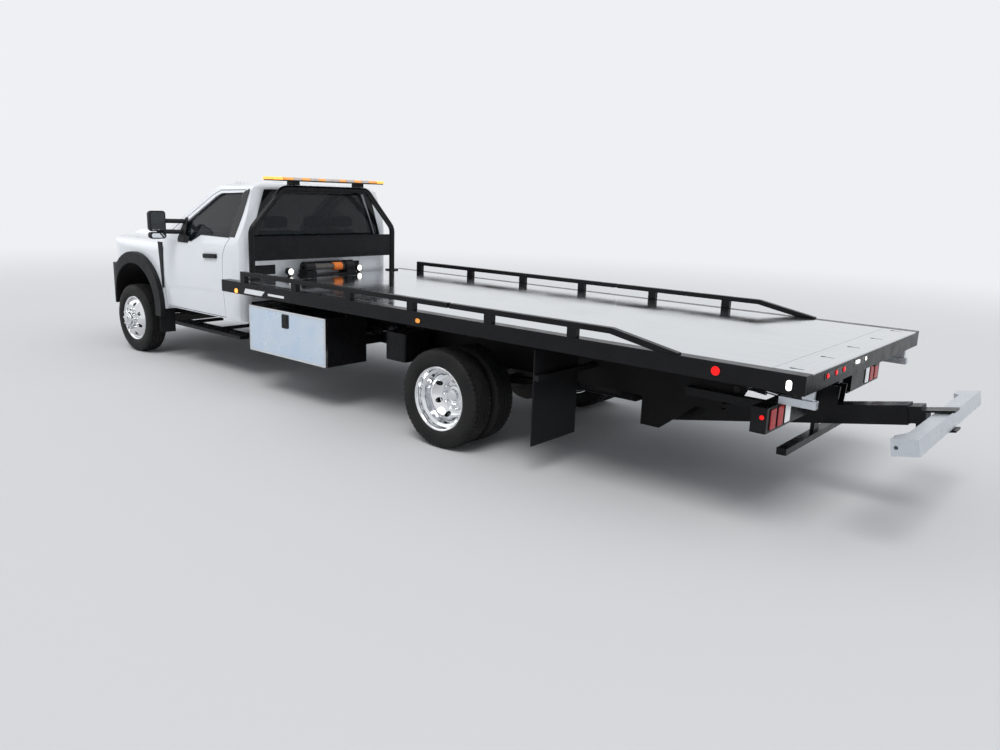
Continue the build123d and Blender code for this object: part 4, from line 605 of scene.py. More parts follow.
# Wheels: a pressed disc with hand holes, a rolled rim, long nut covers and a hub cap
wheelSettings = {
    # sections as (along the axle, radius)
    "rim": ((-95, 262), (-84, 262), (-83, 249), (-40, 247), (-27, 226), (27, 226), (40, 247), (83, 249),
            (84, 262), (95, 262), (98, 258), (97, 250), (93, 245), (86, 240), (44, 236), (30, 214),
            (-30, 214), (-44, 236), (-86, 240), (-93, 245), (-97, 250), (-98, 258)),
    "disc": ((50, 236), (72, 236), (84, 226), (100, 212), (116, 197), (128, 182), (134, 166), (136, 150),
             (136, 60), (124, 60), (124, 148), (120, 162), (112, 176), (98, 190), (80, 205), (62, 220),
             (50, 226)),
    # holes: how many, radius of their circle, radius; nuts: the same and their length
    "holes": (8, 186, 22),
    "cutReach": 160,
    "nuts": (10, 112.5, 15.5, 44),
    "face": (136, 124),  # where the nuts sit, from the rim's middle, on a disc that bulges out or in
    "frontCap": ((0, 92), (8, 92), (11, 88), (14, 80), (46, 79), (52, 76), (55, 70), (55, 46), (58, 42),
                 (68, 41), (69.5, 36), (69.5, 0.5)),
    "rearCap": ((-10, 84), (6, 84), (8, 81), (30, 80), (34, 76), (36, 70), (36, 52), (50, 50), (56, 46),
                (58, 40), (59, 0.5)),
}


def putOnCircle(axlePlace, circle, turn):
    return axlePlace + circle * cos(turn), axleHeight + circle * sin(turn)


def cutHandHoles(disc, centreX, axlePlace, reach):
    count, circle, radius = wheelSettings["holes"]
    shape = bmesh.new()
    for index in range(count):
        f, z = putOnCircle(axlePlace, circle, tau * (index + 0.5) / count)
        putRod(shape, (centreX, f, z), (centreX + reach, f, z), radius, 32)
    bmesh.ops.recalc_face_normals(shape, faces=shape.faces)
    mesh = bpy.data.meshes.new("holes")
    shape.to_mesh(mesh)
    shape.free()
    cutter = bpy.data.objects.new("holes", mesh)
    scene.collection.objects.link(cutter)
    cutWith(disc, cutter)
    smoothBySharpness(disc.data, 32)


def makeWheel(name, centreX, axlePlace, discSide, body, outside, cap):
    # discSide is +1 where the disc bulges outwards; outside is the truck's side, +1 for the left
    settings = wheelSettings
    flip = outside * discSide
    axle = (centreX, axlePlace, axleHeight)
    shape = bmesh.new()
    putTurned(shape, axle, [(x * outside, r) for x, r in settings["rim"]])
    rim = addPiece(name + "Rim", shape, "polished", body, smoothAngle=32)
    shape = bmesh.new()
    putTurned(shape, axle, [(x * flip, r) for x, r in settings["disc"]])
    disc = addPiece(name + "Disc", shape, "polished", body, smoothAngle=32)
    cutHandHoles(disc, centreX, axlePlace, flip * settings["cutReach"])
    if not cap:
        return rim
    face = centreX + flip * settings["face"][0 if discSide > 0 else 1]
    count, circle, radius, height = settings["nuts"]
    # each nut cover: (from, to, radius, radius at its end)
    steps = ((5, 12, radius, radius - 1), (12, height - 8, radius - 1, radius - 2),
             (height - 8, height - 2, radius - 2, radius - 7), (height - 2, height, radius - 7, 2))
    shape = bmesh.new()
    for index in range(count):
        f, z = putOnCircle(axlePlace, circle, tau * index / count)
        putTube(shape, [(face + outside * step, f, z) for step in (-2, 6)], radius + 3, 6)
        for start, end, first, second in steps:
            ends = [(face + outside * along, f, z) for along in (start, end)]
            putRod(shape, *ends, first, 20, second, cap=False)
    addPiece(name + "Nuts", shape, "polished", body, smoothAngle=40)
    shape = bmesh.new()
    putTurned(shape, (face, axlePlace, axleHeight), [(x * outside, r) for x, r in cap], 64, closed=False)
    addPiece(name + "Hub", shape, "polished", body, smoothAngle=30)
    return rim


for side, word in ((1, "left"), (-1, "right")):
    node = "front_wheel_" + word
    rim = makeWheel(node, side * frontX, 0, 1, bodyOf(node), side, wheelSettings["frontCap"])
    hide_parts(node)
    node = "rear_wheels_" + word
    place = wheelbase * 1000
    rim = makeWheel(node + "Outer", side * outerX, place, -1, bodyOf(node), side, wheelSettings["rearCap"])
    makeWheel(node + "Inner", side * innerX, place, 1, bodyOf(node), side, None)
    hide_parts(node)
print("wheels ready")

# Cab details, drawn in side view as (behind the front axle, up)
cabSide = {
    "rearBand": ((2000, 1480), (2086, 1935), (2190, 1975), (2160, 1700), (2110, 1480)),
    "vent": ((598, 1348), (687, 1348), (687, 830), (646, 830)),
    "handle": ((1556, 1258), (1804, 1270)),
    "handleWidth": 46,
    "recessWidth": 78,
    "seal": ((1015, 1402), (1030, 1398), (1300, 1398), (1480, 1478), (2008, 1478)),
    "sealWidth": 12,
    "creaseDoor": ((718, 818), (977, 888), (1876, 902)),
    "creaseCab": ((1906, 902), (2140, 905)),
    "creaseWidth": 8,
    "mirrorFoot": ((1030, 1372), (1235, 1372), (1262, 1440), (1075, 1470), (1030, 1440)),
    # how far the cab's side stands out: (height, metres from the middle)
    "levels": ((622, 0.966), (682, 0.992), (1000, 1.006), (1380, 1.000), (1480, 0.980), (1940, 0.840)),
}


def sideX(z):
    levels = cabSide["levels"]
    for (low, lowX), (high, highX) in zip(levels, levels[1:]):
        if z <= high:
            return 1000 * (lowX + (highX - lowX) * max(0.0, (z - low) / (high - low)))
    return 1000 * levels[-1][1]


def putSidePlate(shape, outline, proud, side, sink=4):
    # a plate that lies on the cab's side
    putPlate(shape, outline, proud + sink, lambda f, z, depth: (side * (sideX(z) + proud - depth), f, z))


def strip(points, width):
    # a band of even width along a line in side view
    upper, lower = [], []
    for index, (f, z) in enumerate(points):
        before = points[max(index - 1, 0)]
        after = points[min(index + 1, len(points) - 1)]
        run, rise = after[0] - before[0], after[1] - before[1]
        size = hypot(run, rise)
        upper.append((f - rise / size * width / 2, z + run / size * width / 2))
        lower.append((f + rise / size * width / 2, z - run / size * width / 2))
    return upper + lower[::-1]


def addCabTrim():
    cab = cabSide
    handle, recess = strip(cab["handle"], cab["handleWidth"]), strip(cab["handle"], cab["recessWidth"])
    seal = strip(cab["seal"], cab["sealWidth"])
    creases = [strip(cab["crease" + part], cab["creaseWidth"]) for part in ("Door", "Cab")]
    for side, word in ((1, "left"), (-1, "right")):
        door = bodyOf("door_" + word)
        # name, body, finish, slot, outline, how far it stands out, edge radius in metres
        pieces = (
            ("RearBand", "chassis", "glossBlack", "trim", cab["rearBand"], 1.2, 0.0),
            ("FenderVent", "chassis", "trimGrain", "trim", cab["vent"], 11, 0.002),
            ("MirrorFoot", door, "trimGrain", "trim", cab["mirrorFoot"], 9, 0.004),
            ("DoorHandle", door, "trimGrain", "trim", handle, 24, 0.008),
            ("WindowSeal", door, "flapRubber", "rubber", seal, 3, 0.001),
            ("CreaseDoor", door, "shadowWhite", "cab_paint", creases[0], 0.7, 0.0),
            ("CreaseCab", "chassis", "shadowWhite", "cab_paint", creases[1], 0.7, 0.0),
            ("HandleRecess", door, "shadowWhite", "cab_paint", recess, 0.8, 0.0),
        )
        for name, body, finish, slotName, outline, proud, edge in pieces:
            shape = bmesh.new()
            putSidePlate(shape, outline, proud, side)
            addPiece(word + name, shape, finish, body, edge)


addCabTrim()

# The back of the cab inside the arch: a dark surround of the glass and two framed louvres
cabBack = {
    "place": 2235,
    "surround": ((-868, 1478), (868, 1478), (705, 1972), (-705, 1972)),
    "hole": ((-792, 1500), (792, 1500), (617, 1945), (-617, 1945)),
    "surroundDepth": 6,
    "louvres": ((591, 867, 1101, 1201), (-549, -312, 1101, 1201)),  # from, to, low, high
    "border": 12,
    "slats": 5,
}


def addCabBack():
    place, border, depth = (cabBack[word] for word in ("place", "border", "surroundDepth"))
    outline, hole = cabBack["surround"], cabBack["hole"]
    shape = bmesh.new()
    for start in range(4):
        end = (start + 1) % 4
        corners = (outline[start], outline[end], hole[end], hole[start])
        putPlate(shape, corners, depth, lambda a, b, depth: (a, place + 1 + depth, b))
    addPiece("cabBackSurround", shape, "glossBlack", "chassis", 0.001)
    for index, (left, right, low, high) in enumerate(cabBack["louvres"]):
        shape = bmesh.new()
        for start, end, lower, upper in ((left, right, low - border, low), (left, right, high, high + border),
                                         (left - border, left, low - border, high + border),
                                         (right, right + border, low - border, high + border)):
            putBox(shape, (start, place + 0.5, lower), (end, place + 7, upper))
        addPiece(f"louvreFrame{index}", shape, "cabWhite", "chassis", 0.0015)
        shape = bmesh.new()
        pitch = (high - low) / cabBack["slats"]
        for step in range(cabBack["slats"]):
            z = low + pitch * (step + 0.2)
            slat = ((0.5, z + pitch * 0.62), (6, z), (5, z - 2.5), (0.5, z + pitch * 0.4))
            putPlate(shape, slat, right - left, lambda a, b, depth: (left + depth, place + a, b))
        putBox(shape, (left, place + 0.2, low), (right, place + 1, high))
        addPiece(f"louvre{index}", shape, "trimGrain", "chassis")


addCabBack()
print("cab details ready")

# Light bar: a dark base on two feet, and a row of amber and clear modules
lightBar = {
    "halfWidth": 733,
    "front": 2238,
    "rear": 2482,
    "low": 2062,
    "split": 2072,
    "top": 2100.5,
    "corner": 60,
    # boxes of each foot, from (across, behind the front axle, up) to
    "feet": (-430, 430),
    "foot": (((-45, 2310, 2030), (45, 2410, 2062)), ((-60, 2325, 2021.5), (60, 2395, 2034))),
    # from the left end to the middle: length of each module and its finish; the right half mirrors it
    "halfModules": ((110, "amberLit"), (120, "amberLens"), (105, "clearLens"), (105, "amberLens"),
                    (110, "clearLens"), (90, "amberLens")),
    "middleModule": (186, "clearLens"),
    "gap": 5,
    "endNarrower": 12,
}


def lightBarSection(narrow):
    bar = lightBar
    front, rear, split, top = bar["front"], bar["rear"], bar["split"], bar["top"]
    rising = [(7 + narrow, split), (12 + narrow, split + 17), (26, top - 2), (60, top)]
    return [(front + a, b) for a, b in rising] + [(rear - a, b) for a, b in reversed(rising)]


def addLightBar():
    bar = lightBar
    half, low = bar["halfWidth"], bar["low"]
    body = bodyOf("light_bar")
    shape = bmesh.new()
    size = (2 * half, bar["rear"] - bar["front"])
    outline = roundedOutline(*size, bar["corner"], 8, (0, (bar["front"] + bar["rear"]) / 2))
    putPlate(shape, outline, bar["split"] - low, lambda a, b, depth: (a, b, low + depth))
    base = addPiece("lightBarBase", shape, "trimGrain", body, 0.002)
    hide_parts("light_bar")
    shape = bmesh.new()
    for x in bar["feet"]:
        for start, end in bar["foot"]:
            putBox(shape, (x + start[0], *start[1:]), (x + end[0], *end[1:]))
    addPiece("lightBarFeet", shape, "frameBlack", body, 0.004)
    modules = (*bar["halfModules"], bar["middleModule"], *reversed(bar["halfModules"]))
    length = sum(size for size, finish in modules)
    place = length / 2
    for index, (size, finish) in enumerate(modules):
        start, end = place * half * 2 / length, (place - size) * half * 2 / length
        place -= size
        first = (start + end) / 2 - (start - end - bar["gap"]) / 2
        section = lightBarSection(bar["endNarrower"] if index in (0, len(modules) - 1) else 0)
        shape = bmesh.new()
        putPlate(shape, section, start - end - bar["gap"], lambda a, b, depth: (first + depth, a, b))
        addPiece(f"lightBarModule{index}", shape, finish, body, 0.004, 3, 25)


addLightBar()

# Winch: the drum's barrel between its flanges, with a short winding of orange rope
winchSettings = {
    "axis": (2368, 1165),
    "turns": 15,
    "stepsPerTurn": 14,
    "ropeMiddle": -120,
    "ropeRadius": 3.8,
    "layers": 2,
    "unevenness": 1.2,
    "drumRadius": 31,
    "flangeRadius": 46,
    "boreRadius": 5,
    "flange": 5,
    "halfLength": 203,
}


def addWinchRope():
    settings = winchSettings
    place, height = settings["axis"]
    size, turns, steps = settings["ropeRadius"], settings["turns"], settings["stepsPerTurn"]
    points = []
    for layer in range(settings["layers"]):
        radius = settings["drumRadius"] + size + layer * size * 1.75
        for step in range(turns * steps):
            share = step / (turns * steps)
            along = (-0.5 + share if layer % 2 == 0 else 0.5 - share) * turns * size * 2.04
            turn = tau * step / steps
            wobble = noise.noise(Vector((step * 0.11, layer * 3.1, 0))) * settings["unevenness"]
            points.append((settings["ropeMiddle"] + along + wobble, place + (radius + wobble) * cos(turn),
                           height + (radius + wobble) * sin(turn)))
    body = bodyOf("winch_drum")
    shape = bmesh.new()
    putTube(shape, points, size, 6)
    addPiece("winchRope", shape, "ropeOrange", body, smoothAngle=60)
    half, inner, bore = settings["halfLength"], settings["drumRadius"], settings["boreRadius"]
    outer, wall = settings["flangeRadius"], half - settings["flange"]
    section = ((-half, bore), (-half, outer), (-wall, outer), (-wall, inner),
               (wall, inner), (wall, outer), (half, outer), (half, bore))
    shape = bmesh.new()
    putTurned(shape, (0, place, height), section, 48)
    drum = addPiece("winchBarrel", shape, "castIron", body, 0.001)
    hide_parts("winch_drum")


addWinchRope()
print("light bar and winch ready")

# Lamps and markers on both sides: (name, node that carries it, finish, slot, box from, box to)
lampTable = (
    ("beamMarkerFront", "bed_frame", "amberLit", "amber_lamp", (1218, 2462, 970), (1226, 2518, 1016)),
    ("beamMarkerMiddle", "bed_frame", "amberLens", "amber_lamp", (1218, 4992, 994), (1226, 5042, 1030)),
    ("beamMarkerRear", "bed_frame", "redLit", "amber_lamp", (1218, 7510, 998), (1226, 7566, 1054)),
    ("beamLampWhite", "bed_frame", "whiteLit", "lamp", (1217, 7966, 984), (1224, 8000, 1046)),
    ("boxMarker", "lamp_panels", "redLit", "amber_lamp", (1129, 7800, 762), (1135, 7828, 790)),
    ("tailLampOuter", "lamp_panels", "redLens", "amber_lamp", (1000, 7842, 694), (1082, 7849, 818)),
    ("tailLampMiddle", "lamp_panels", "redLens", "amber_lamp", (884, 7842, 694), (966, 7849, 818)),
    ("tailLampInner", "lamp_panels", "whiteLens", "lamp", (768, 7842, 694), (850, 7849, 818)),
)
lampSettings = {
    "depth": 8,
    "ribDepth": 9.5,
    "ribs": 9,
    "tailCorner": 9,
    "bezel": 6,
    "bezelDepth": 5,
}


def addLamps():
    settings = lampSettings
    bezel = settings["bezel"]
    for name, node, finish, slotName, low, high in lampTable:
        sideways = high[0] - low[0] < 20
        across = 1 if sideways else 0
        width, height = high[across] - low[across], high[2] - low[2]
        middle = ((high[across] + low[across]) / 2, (high[2] + low[2]) / 2)
        corner = min(width, height) / 2 - 0.5 if sideways else settings["tailCorner"]

        def place(a, b, depth):
            return (low[0] + depth, a, b) if sideways else (a, low[1] + depth, b)

        lens = bmesh.new()
        putPlate(lens, roundedOutline(width, height, corner, 8, middle), settings["depth"], place)
        if not sideways:
            for step in range(settings["ribs"]):
                z = low[2] + height * (step + 0.5) / settings["ribs"]
                rib = roundedOutline(width - 16, 4, 1.5, 2, (middle[0], z))
                putPlate(lens, rib, settings["ribDepth"], place)
        addPiece(name, lens, finish, bodyOf(node), 0.001, 2, 30, twice=True)
        ring = bmesh.new()
        outline = roundedOutline(width + 2 * bezel, height + 2 * bezel, corner + 5, 8, middle)
        putPlate(ring, outline, settings["bezelDepth"], place)
        addPiece(name + "Bezel", ring, "flapRubber", bodyOf(node), 0.001, twice=True)


addLamps()

# Lamps on the bed's rear edge: three red and a round and an oblong white one on dark strips
bedRear = {
    "place": 8075,
    # across, up, radius, finish, slot
    "lamps": ((872, 1034, 16, "redLit", "amber_lamp"), (720, 1034, 16, "redLit", "amber_lamp"),
              (578, 1034, 16, "redLit", "amber_lamp"), (147, 1044, 14, "whiteLit", "lamp")),
    # from, to, low, high, how far it stands out
    "strips": ((530, 915, 1010, 1058, 3), (90, 370, 1018, 1066, 2)),
    "oblongLamp": (311, 1044, 62, 22),
}


def addBedRear():
    place = bedRear["place"]
    shape = bmesh.new()
    for left, right, low, high, proud in bedRear["strips"]:
        putBox(shape, (left, place - 1, low), (right, place + proud, high))
    addPiece("lampStrip", shape, "glossBlack", "bed", 0.001)
    for index, (x, z, radius, finish, slotName) in enumerate(bedRear["lamps"]):
        shape = bmesh.new()
        putRod(shape, (x, place + 2, z), (x, place + 7, z), radius, 28)
        putRod(shape, (x, place + 7, z), (x, place + 10, z), radius, 28, radius * 0.7)
        addPiece(f"edgeLamp{index}", shape, finish, "bed", smoothAngle=40)
        shape = bmesh.new()
        putTurnedFacing(shape, (x, place, z), ((radius + 5, 0), (radius + 4, 5), (radius, 5), (radius, 0)))
        addPiece(f"edgeLampRing{index}", shape, "flapRubber", "bed", smoothAngle=40)
    x, z, width, height = bedRear["oblongLamp"]
    shape = bmesh.new()
    outline = roundedOutline(width, height, 4, 4, (x, z))
    putPlate(shape, outline, 9, lambda a, b, depth: (a, place + depth, b))
    addPiece("edgeLampWide", shape, "whiteLit", "bed", 0.002)


addBedRear()

# Work lamps: a lit face and a rubber ring in each round housing
workLamps = {
    "across": (-470, 470),
    "place": 2344,
    "height": 1129,
    "faceRadius": 33,
    "ring": ((41, -4), (41, 3), (34, 3), (34, -4)),  # radius, along
}


def addWorkLampFaces():
    body, place, height = bodyOf("work_lamps"), workLamps["place"], workLamps["height"]
    for index, x in enumerate(workLamps["across"]):
        shape = bmesh.new()
        putRod(shape, (x, place - 3, height), (x, place + 2, height), workLamps["faceRadius"], 36)
        addPiece(f"workLampFace{index}", shape, "whiteLit", body, 0.001)
        shape = bmesh.new()
        putTurnedFacing(shape, (x, place, height), workLamps["ring"])
        addPiece(f"workLampRing{index}", shape, "flapRubber", body, smoothAngle=40)


addWorkLampFaces()

# Bare labels on the beams, and the folded lips of the sign panel
plainPlates = {
    "beamLabels": (((2640, 1030), (2960, 1030), (2905, 982), (2615, 982)),
                   ((3010, 1018), (3260, 1018), (3260, 996), (3010, 996))),
    "beamFace": 1219,
    "labelDepth": 1.2,
    "panelLips": ((1494, 1502), (1260, 1268)),
    "panelHalfWidth": 938,
    "panelPlaces": (2360, 2378),
}


def addPlainPlates():
    face = plainPlates["beamFace"]
    for index, outline in enumerate(plainPlates["beamLabels"]):
        shape = bmesh.new()
        putPlate(shape, outline, plainPlates["labelDepth"], lambda a, b, depth: (face + depth, a, b))
        addPiece(f"beamLabel{index}", shape, "labelWhite", bodyOf("bed_frame"), twice=True)
    half = plainPlates["panelHalfWidth"]
    front, rear = plainPlates["panelPlaces"]
    shape = bmesh.new()
    for low, high in plainPlates["panelLips"]:
        putBox(shape, (-half, front, low), (half, rear, high))
    addPiece("signPanelLips", shape, "frameBlack", bodyOf("headboard"), 0.002)


addPlainPlates()

# Wheel houses: a dark liner inside each front arch, and the wall behind the wheel
archLiner = {
    "middle": (60, 575),
    "radius": 489,
    "thickness": 5,
    "across": (560, 1034),
    "turns": (-8, 165),
    "steps": 40,
    "wall": 3,
}


def addArchLiners():
    place, height = archLiner["middle"]
    low, high = archLiner["across"]
    start, end = archLiner["turns"]
    steps = archLiner["steps"]
    turns = [radians(start + (end - start) * step / steps) for step in range(steps + 1)]
    outer, inner = ([(place + radius * cos(turn), height + radius * sin(turn)) for turn in turns]
                    for radius in (archLiner["radius"], archLiner["radius"] - archLiner["thickness"]))
    # four corners at each turn, joined to the next four, with the two ends closed
    shape = bmesh.new()
    rings = [[shape.verts.new(at(corner)) for corner in ((high, *a), (high, *b), (low, *b), (low, *a))]
             for a, b in zip(outer, inner)]
    joinRings(shape, rings)
    capRings(shape, rings)
    addPiece("archLiners", shape, "underBlack", "chassis", smoothAngle=40, twice=True)
    shape = bmesh.new()
    putPlate(shape, outer, archLiner["wall"], lambda a, b, depth: (low + depth, a, b))
    addPiece("archWalls", shape, "underBlack", "chassis", twice=True)


addArchLiners()
print("lamps, plates and wheel houses ready")

# Toolboxes: a bluish film left on each door, a bright rim round it and a paddle latch
toolboxSettings = {
    "front": 2626,
    "rear": 3806,
    "low": 424,
    "high": 870,
    "outer": 1178,
    "filmInset": 20,
    "rimInset": 4,
    "rimWidth": 8,
    # width, height, corner, how far up from the latch's middle, how far it stands out
    "latch": ((96, 132, 12, 0, 9.5), (62, 70, 8, 14, 13)),
    "latchMiddle": (3216, 775),
}


def addToolboxTrim():
    box = toolboxSettings
    front, rear, low, high = (box[word] for word in ("front", "rear", "low", "high"))
    outer, inset = box["outer"], box["filmInset"]
    place, height = box["latchMiddle"]
    for side, word in ((1, "left"), (-1, "right")):
        body = bodyOf("toolbox_door_" + word)
        film = bmesh.new()
        ends, heights = (front + inset + 2, rear - inset - 2), (low + inset, high - inset)
        corners = [(ends[0], heights[0]), (ends[1], heights[0]), (ends[1], heights[1]), (ends[0], heights[1])]
        putPlate(film, corners, 0.6, lambda a, b, depth: (side * (outer + 0.2 + depth), a, b))
        addPiece(word + "ToolboxFilm", film, "panelFilm", body)
        latch = bmesh.new()
        for width, tall, corner, up, proud in box["latch"]:
            outline = roundedOutline(width, tall, corner, 6, (place, height + up))
            putPlate(latch, outline, proud, lambda a, b, depth: (side * (outer + depth), a, b))
        addPiece(word + "ToolboxLatchPlate", latch, "flapRubber", body, 0.0015)
        rim = bmesh.new()
        near, far = box["rimInset"], box["rimInset"] + box["rimWidth"]
        faces = sorted((side * (outer - 1), side * (outer + 2)))
        for start, lower, end, upper in ((front + near, low + near, rear - near, low + far),
                                         (front + near, high - far, rear - near, high - near),
                                         (front + near, low + near, front + far, high - near),
                                         (rear - far, low + near, rear - near, high - near)):
            putBox(rim, (faces[0], start, lower), (faces[1], end, upper))
        addPiece(word + "ToolboxRim", rim, "polished", body, 0.001)


addToolboxTrim()

# Wipers: an arm and a blade for each half of the screen
wiperSettings = {
    "across": (-700, 40),
    "arm": (((0, 735, 1462), (250, 790, 1497), (560, 800, 1502)), 7, 8),
    "blade": (((60, 790, 1503), (620, 803, 1512)), 5, 6),
}


def addWipers():
    shape = bmesh.new()
    for x in wiperSettings["across"]:
        for points, radius, sides in (wiperSettings["arm"], wiperSettings["blade"]):
            putTube(shape, [(x + across, place, height) for across, place, height in points], radius, sides)
    addPiece("wipers", shape, "flapRubber", "chassis", smoothAngle=60)


addWipers()
print("toolboxes and wipers ready")

# Mirrors: a two-part shell with its glass, two arms and the plate that they stand on
mirrorSettings = {
    "across": (1118, 1298),
    "places": (917, 1013),
    "heads": (("Main", 1486, 1704), ("Lower", 1406, 1478)),
    # each ring of the shell: how far in from its rear or front face, and its size
    "shell": (("rear", 2, 0.97), ("rear", 8, 1.0), ("middle", 0, 1.0), ("front", 18, 0.92),
              ("front", 2, 0.72)),
    "shellCorner": 30,
    "glassInset": 13,
    "glassCorner": 20,
    "armHeights": (1470, 1585),
    "armRise": 12,
    "armRadius": 24,
    "armReach": ((1200, 968), (1150, 975), (1080, 1020)),
    "armEnd": 1098,
    "plate": ((1062, 1378), (1062, 1500), (1105, 1638), (1150, 1638), (1176, 1420), (1176, 1378)),
    "plateProud": 13,
}


def putMirrorShell(shape, side, low, high):
    mirror = mirrorSettings
    (inner, outer), (front, rear) = mirror["across"], mirror["places"]
    middle, level = (inner + outer) / 2, (low + high) / 2
    faces = {"rear": (rear, -1), "middle": ((front + rear) / 2, 0), "front": (front, 1)}
    outline = roundedOutline(outer - inner, high - low, mirror["shellCorner"], 6, (middle, level))
    rings = []
    for face, inset, size in mirror["shell"]:
        place = faces[face][0] + faces[face][1] * inset
        rings.append([shape.verts.new(at((side * (middle + (a - middle) * size), place,
                                          level + (b - level) * size))) for a, b in outline])
    joinRings(shape, rings)
    shape.faces.new(rings[0])
    shape.faces.new(rings[-1])


def addMirrors():
    mirror = mirrorSettings
    (inner, outer), rear = mirror["across"], mirror["places"][1]
    inset = 2 * mirror["glassInset"]
    for side, word in ((1, "left"), (-1, "right")):
        body = bodyOf("mirror_" + word)
        for part, low, high in mirror["heads"]:
            shape = bmesh.new()
            putMirrorShell(shape, side, low, high)
            addPiece(f"{word}Mirror{part}", shape, "trimGrain", body, 0.002, 2, 40)
            shape = bmesh.new()
            middle = ((inner + outer) / 2, (low + high) / 2)
            size = (outer - inner - inset, high - low - inset)
            glass = roundedOutline(*size, mirror["glassCorner"], 6, middle)
            putPlate(shape, glass, 1.6, lambda a, b, depth: (side * a, rear - 3 + depth, b))
            addPiece(f"{word}MirrorGlass{part}", shape, "mirrorGlass", body)
        shape = bmesh.new()
        for z in mirror["armHeights"]:
            reach = (*mirror["armReach"], (sideX(z) + 6, mirror["armEnd"]))
            points = [(side * x, place, z + mirror["armRise"]) for x, place in reach]
            putTube(shape, points, mirror["armRadius"], 16)
        arms = addPiece(word + "MirrorArms", shape, "trimGrain", body, smoothAngle=60)
        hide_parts("mirror_" + word)
        shape = bmesh.new()
        putSidePlate(shape, mirror["plate"], mirror["plateProud"], side)
        addPiece(word + "MirrorPlate", shape, "trimGrain", body, 0.004)


addMirrors()


# Soft pieces: sizes in metres; crown and cap say how far a face bulges and how far the cloth may move
cushionSettings = {
    "shrink": 0.018,
    "rounding": 0.22,
    "profile": 0.6,
    "nearFace": 0.35,
    "crown": 0.010,
    "voxel": 0.014,
    "pressure": 4,
    "quality": 5,
    "frames": 20,
    "cap": 0.024,
}


def softBlock(name, low, high, lean, body):
    # a crowned cushion in a box of the CAD: a rounded cage, blown up under a cap
    settings = cushionSettings
    shape = bmesh.new()
    size = high - low
    middle = (high + low) / 2
    bmesh.ops.create_cube(shape, size=1)
    for vert in shape.verts:
        vert.co = Vector([vert.co[axis] * (size[axis] - settings["shrink"]) for axis in range(3)])
    bmesh.ops.bevel(shape, geom=shape.edges[:], offset=min(size) * settings["rounding"], segments=4,
                    affect="EDGES", profile=settings["profile"])
    bmesh.ops.subdivide_edges(shape, edges=shape.edges[:], cuts=2, use_grid_fill=True)
    for vert in shape.verts:
        for axis in range(3):
            share = 1.0
            for other in (i for i in range(3) if i != axis):
                share *= max(0.0, 1 - (2 * vert.co[other] / size[other]) ** 2)
            if abs(vert.co[axis]) > size[axis] * settings["nearFace"]:
                vert.co[axis] += (1 if vert.co[axis] > 0 else -1) * settings["crown"] * share
        vert.co += middle
        vert.co.y += lean * (vert.co.z - low.z)
    mesh = bpy.data.meshes.new(name)
    shape.to_mesh(mesh)
    shape.free()
    piece = bpy.data.objects.new(name, mesh)
    scene.collection.objects.link(piece)
    puff(piece, settings)
    mesh = piece.data
    mesh.materials.clear()
    mesh.materials.append(paint["seatCloth"])
    mesh.polygons.foreach_set("use_smooth", [True] * len(mesh.polygons))
    soften = piece.modifiers.new("soften", "SUBSURF")
    soften.levels = 1
    soften.render_levels = 1
    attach(piece, body)
    return piece


def applied(piece):
    bpy.context.view_layer.update()
    baked = bpy.data.meshes.new_from_object(piece.evaluated_get(bpy.context.evaluated_depsgraph_get()))
    piece.modifiers.clear()
    piece.data = baked


def puff(piece, settings):
    # remesh in voxels, blow the cloth up for some frames, and hold every point within the cap
    cap = settings["cap"]
    remesh = piece.modifiers.new("voxels", "REMESH")
    remesh.mode = "VOXEL"
    remesh.voxel_size = settings["voxel"]
    applied(piece)
    before = [vert.co.copy() for vert in piece.data.vertices]
    cloth = piece.modifiers.new("cloth", "CLOTH")
    cloth.settings.use_pressure = True
    cloth.settings.uniform_pressure_force = settings["pressure"]
    cloth.settings.effector_weights.gravity = 0
    cloth.settings.quality = settings["quality"]
    for step in range(settings["frames"]):
        scene.frame_set(step + 1)
    applied(piece)
    for vert, start in zip(piece.data.vertices, before):
        move = vert.co - start
        if move.length > cap:
            vert.co = start + move.normalized() * cap
    scene.frame_set(1)


# Seats: driver's seat and two-place bench, each a cushion, a leaning back and head rests on a plain base
seatSettings = {
    # name, from, to, middles of the head rests
    "seats": (("driver", 140, 690, (415,)), ("bench", -690, 100, (-490, -100))),
    # front, rear, low, high
    "cushion": (1362, 1830, 1012, 1172),
    "back": (1806, 1952, 1120, 1560),
    "head": (1956, 2062, 1572, 1694),
    "base": (1400, 1940, 851, 1016),
    "headHalfWidth": 135,
    "backInset": 15,
    "baseInset": 30,
    "lean": 0.24,
    "posts": (-55, 55),
    "post": ((2006, 1540), (2010, 1600)),
}


def addSeats():
    seat = seatSettings
    body = bodyOf("seats")
    inset, half = seat["backInset"], seat["headHalfWidth"]
    for word, left, right, heads in seat["seats"]:
        parts = [("Cushion", seat["cushion"], left, right, 0),
                 ("Back", seat["back"], left + inset, right - inset, seat["lean"])]
        parts += [(f"Head{index}", seat["head"], x - half, x + half, 0) for index, x in enumerate(heads)]
        for part, (front, rear, low, high), first, last, lean in parts:
            corners = at((first, front, low)), at((last, rear, high))
            piece = softBlock(word + part, *corners, lean, body)
            if word + part == "driverCushion":
                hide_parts("seats")
        front, rear, low, high = seat["base"]
        base = bmesh.new()
        putBox(base, (left + seat["baseInset"], front, low), (right - seat["baseInset"], rear, high))
        for x in heads:
            for post in seat["posts"]:
                putRod(base, *((x + post, place, height) for place, height in seat["post"]), 6, 12)
        addPiece(word + "SeatBase", base, "dashPlastic", body, 0.008)


addSeats()
print("mirrors and seats ready")

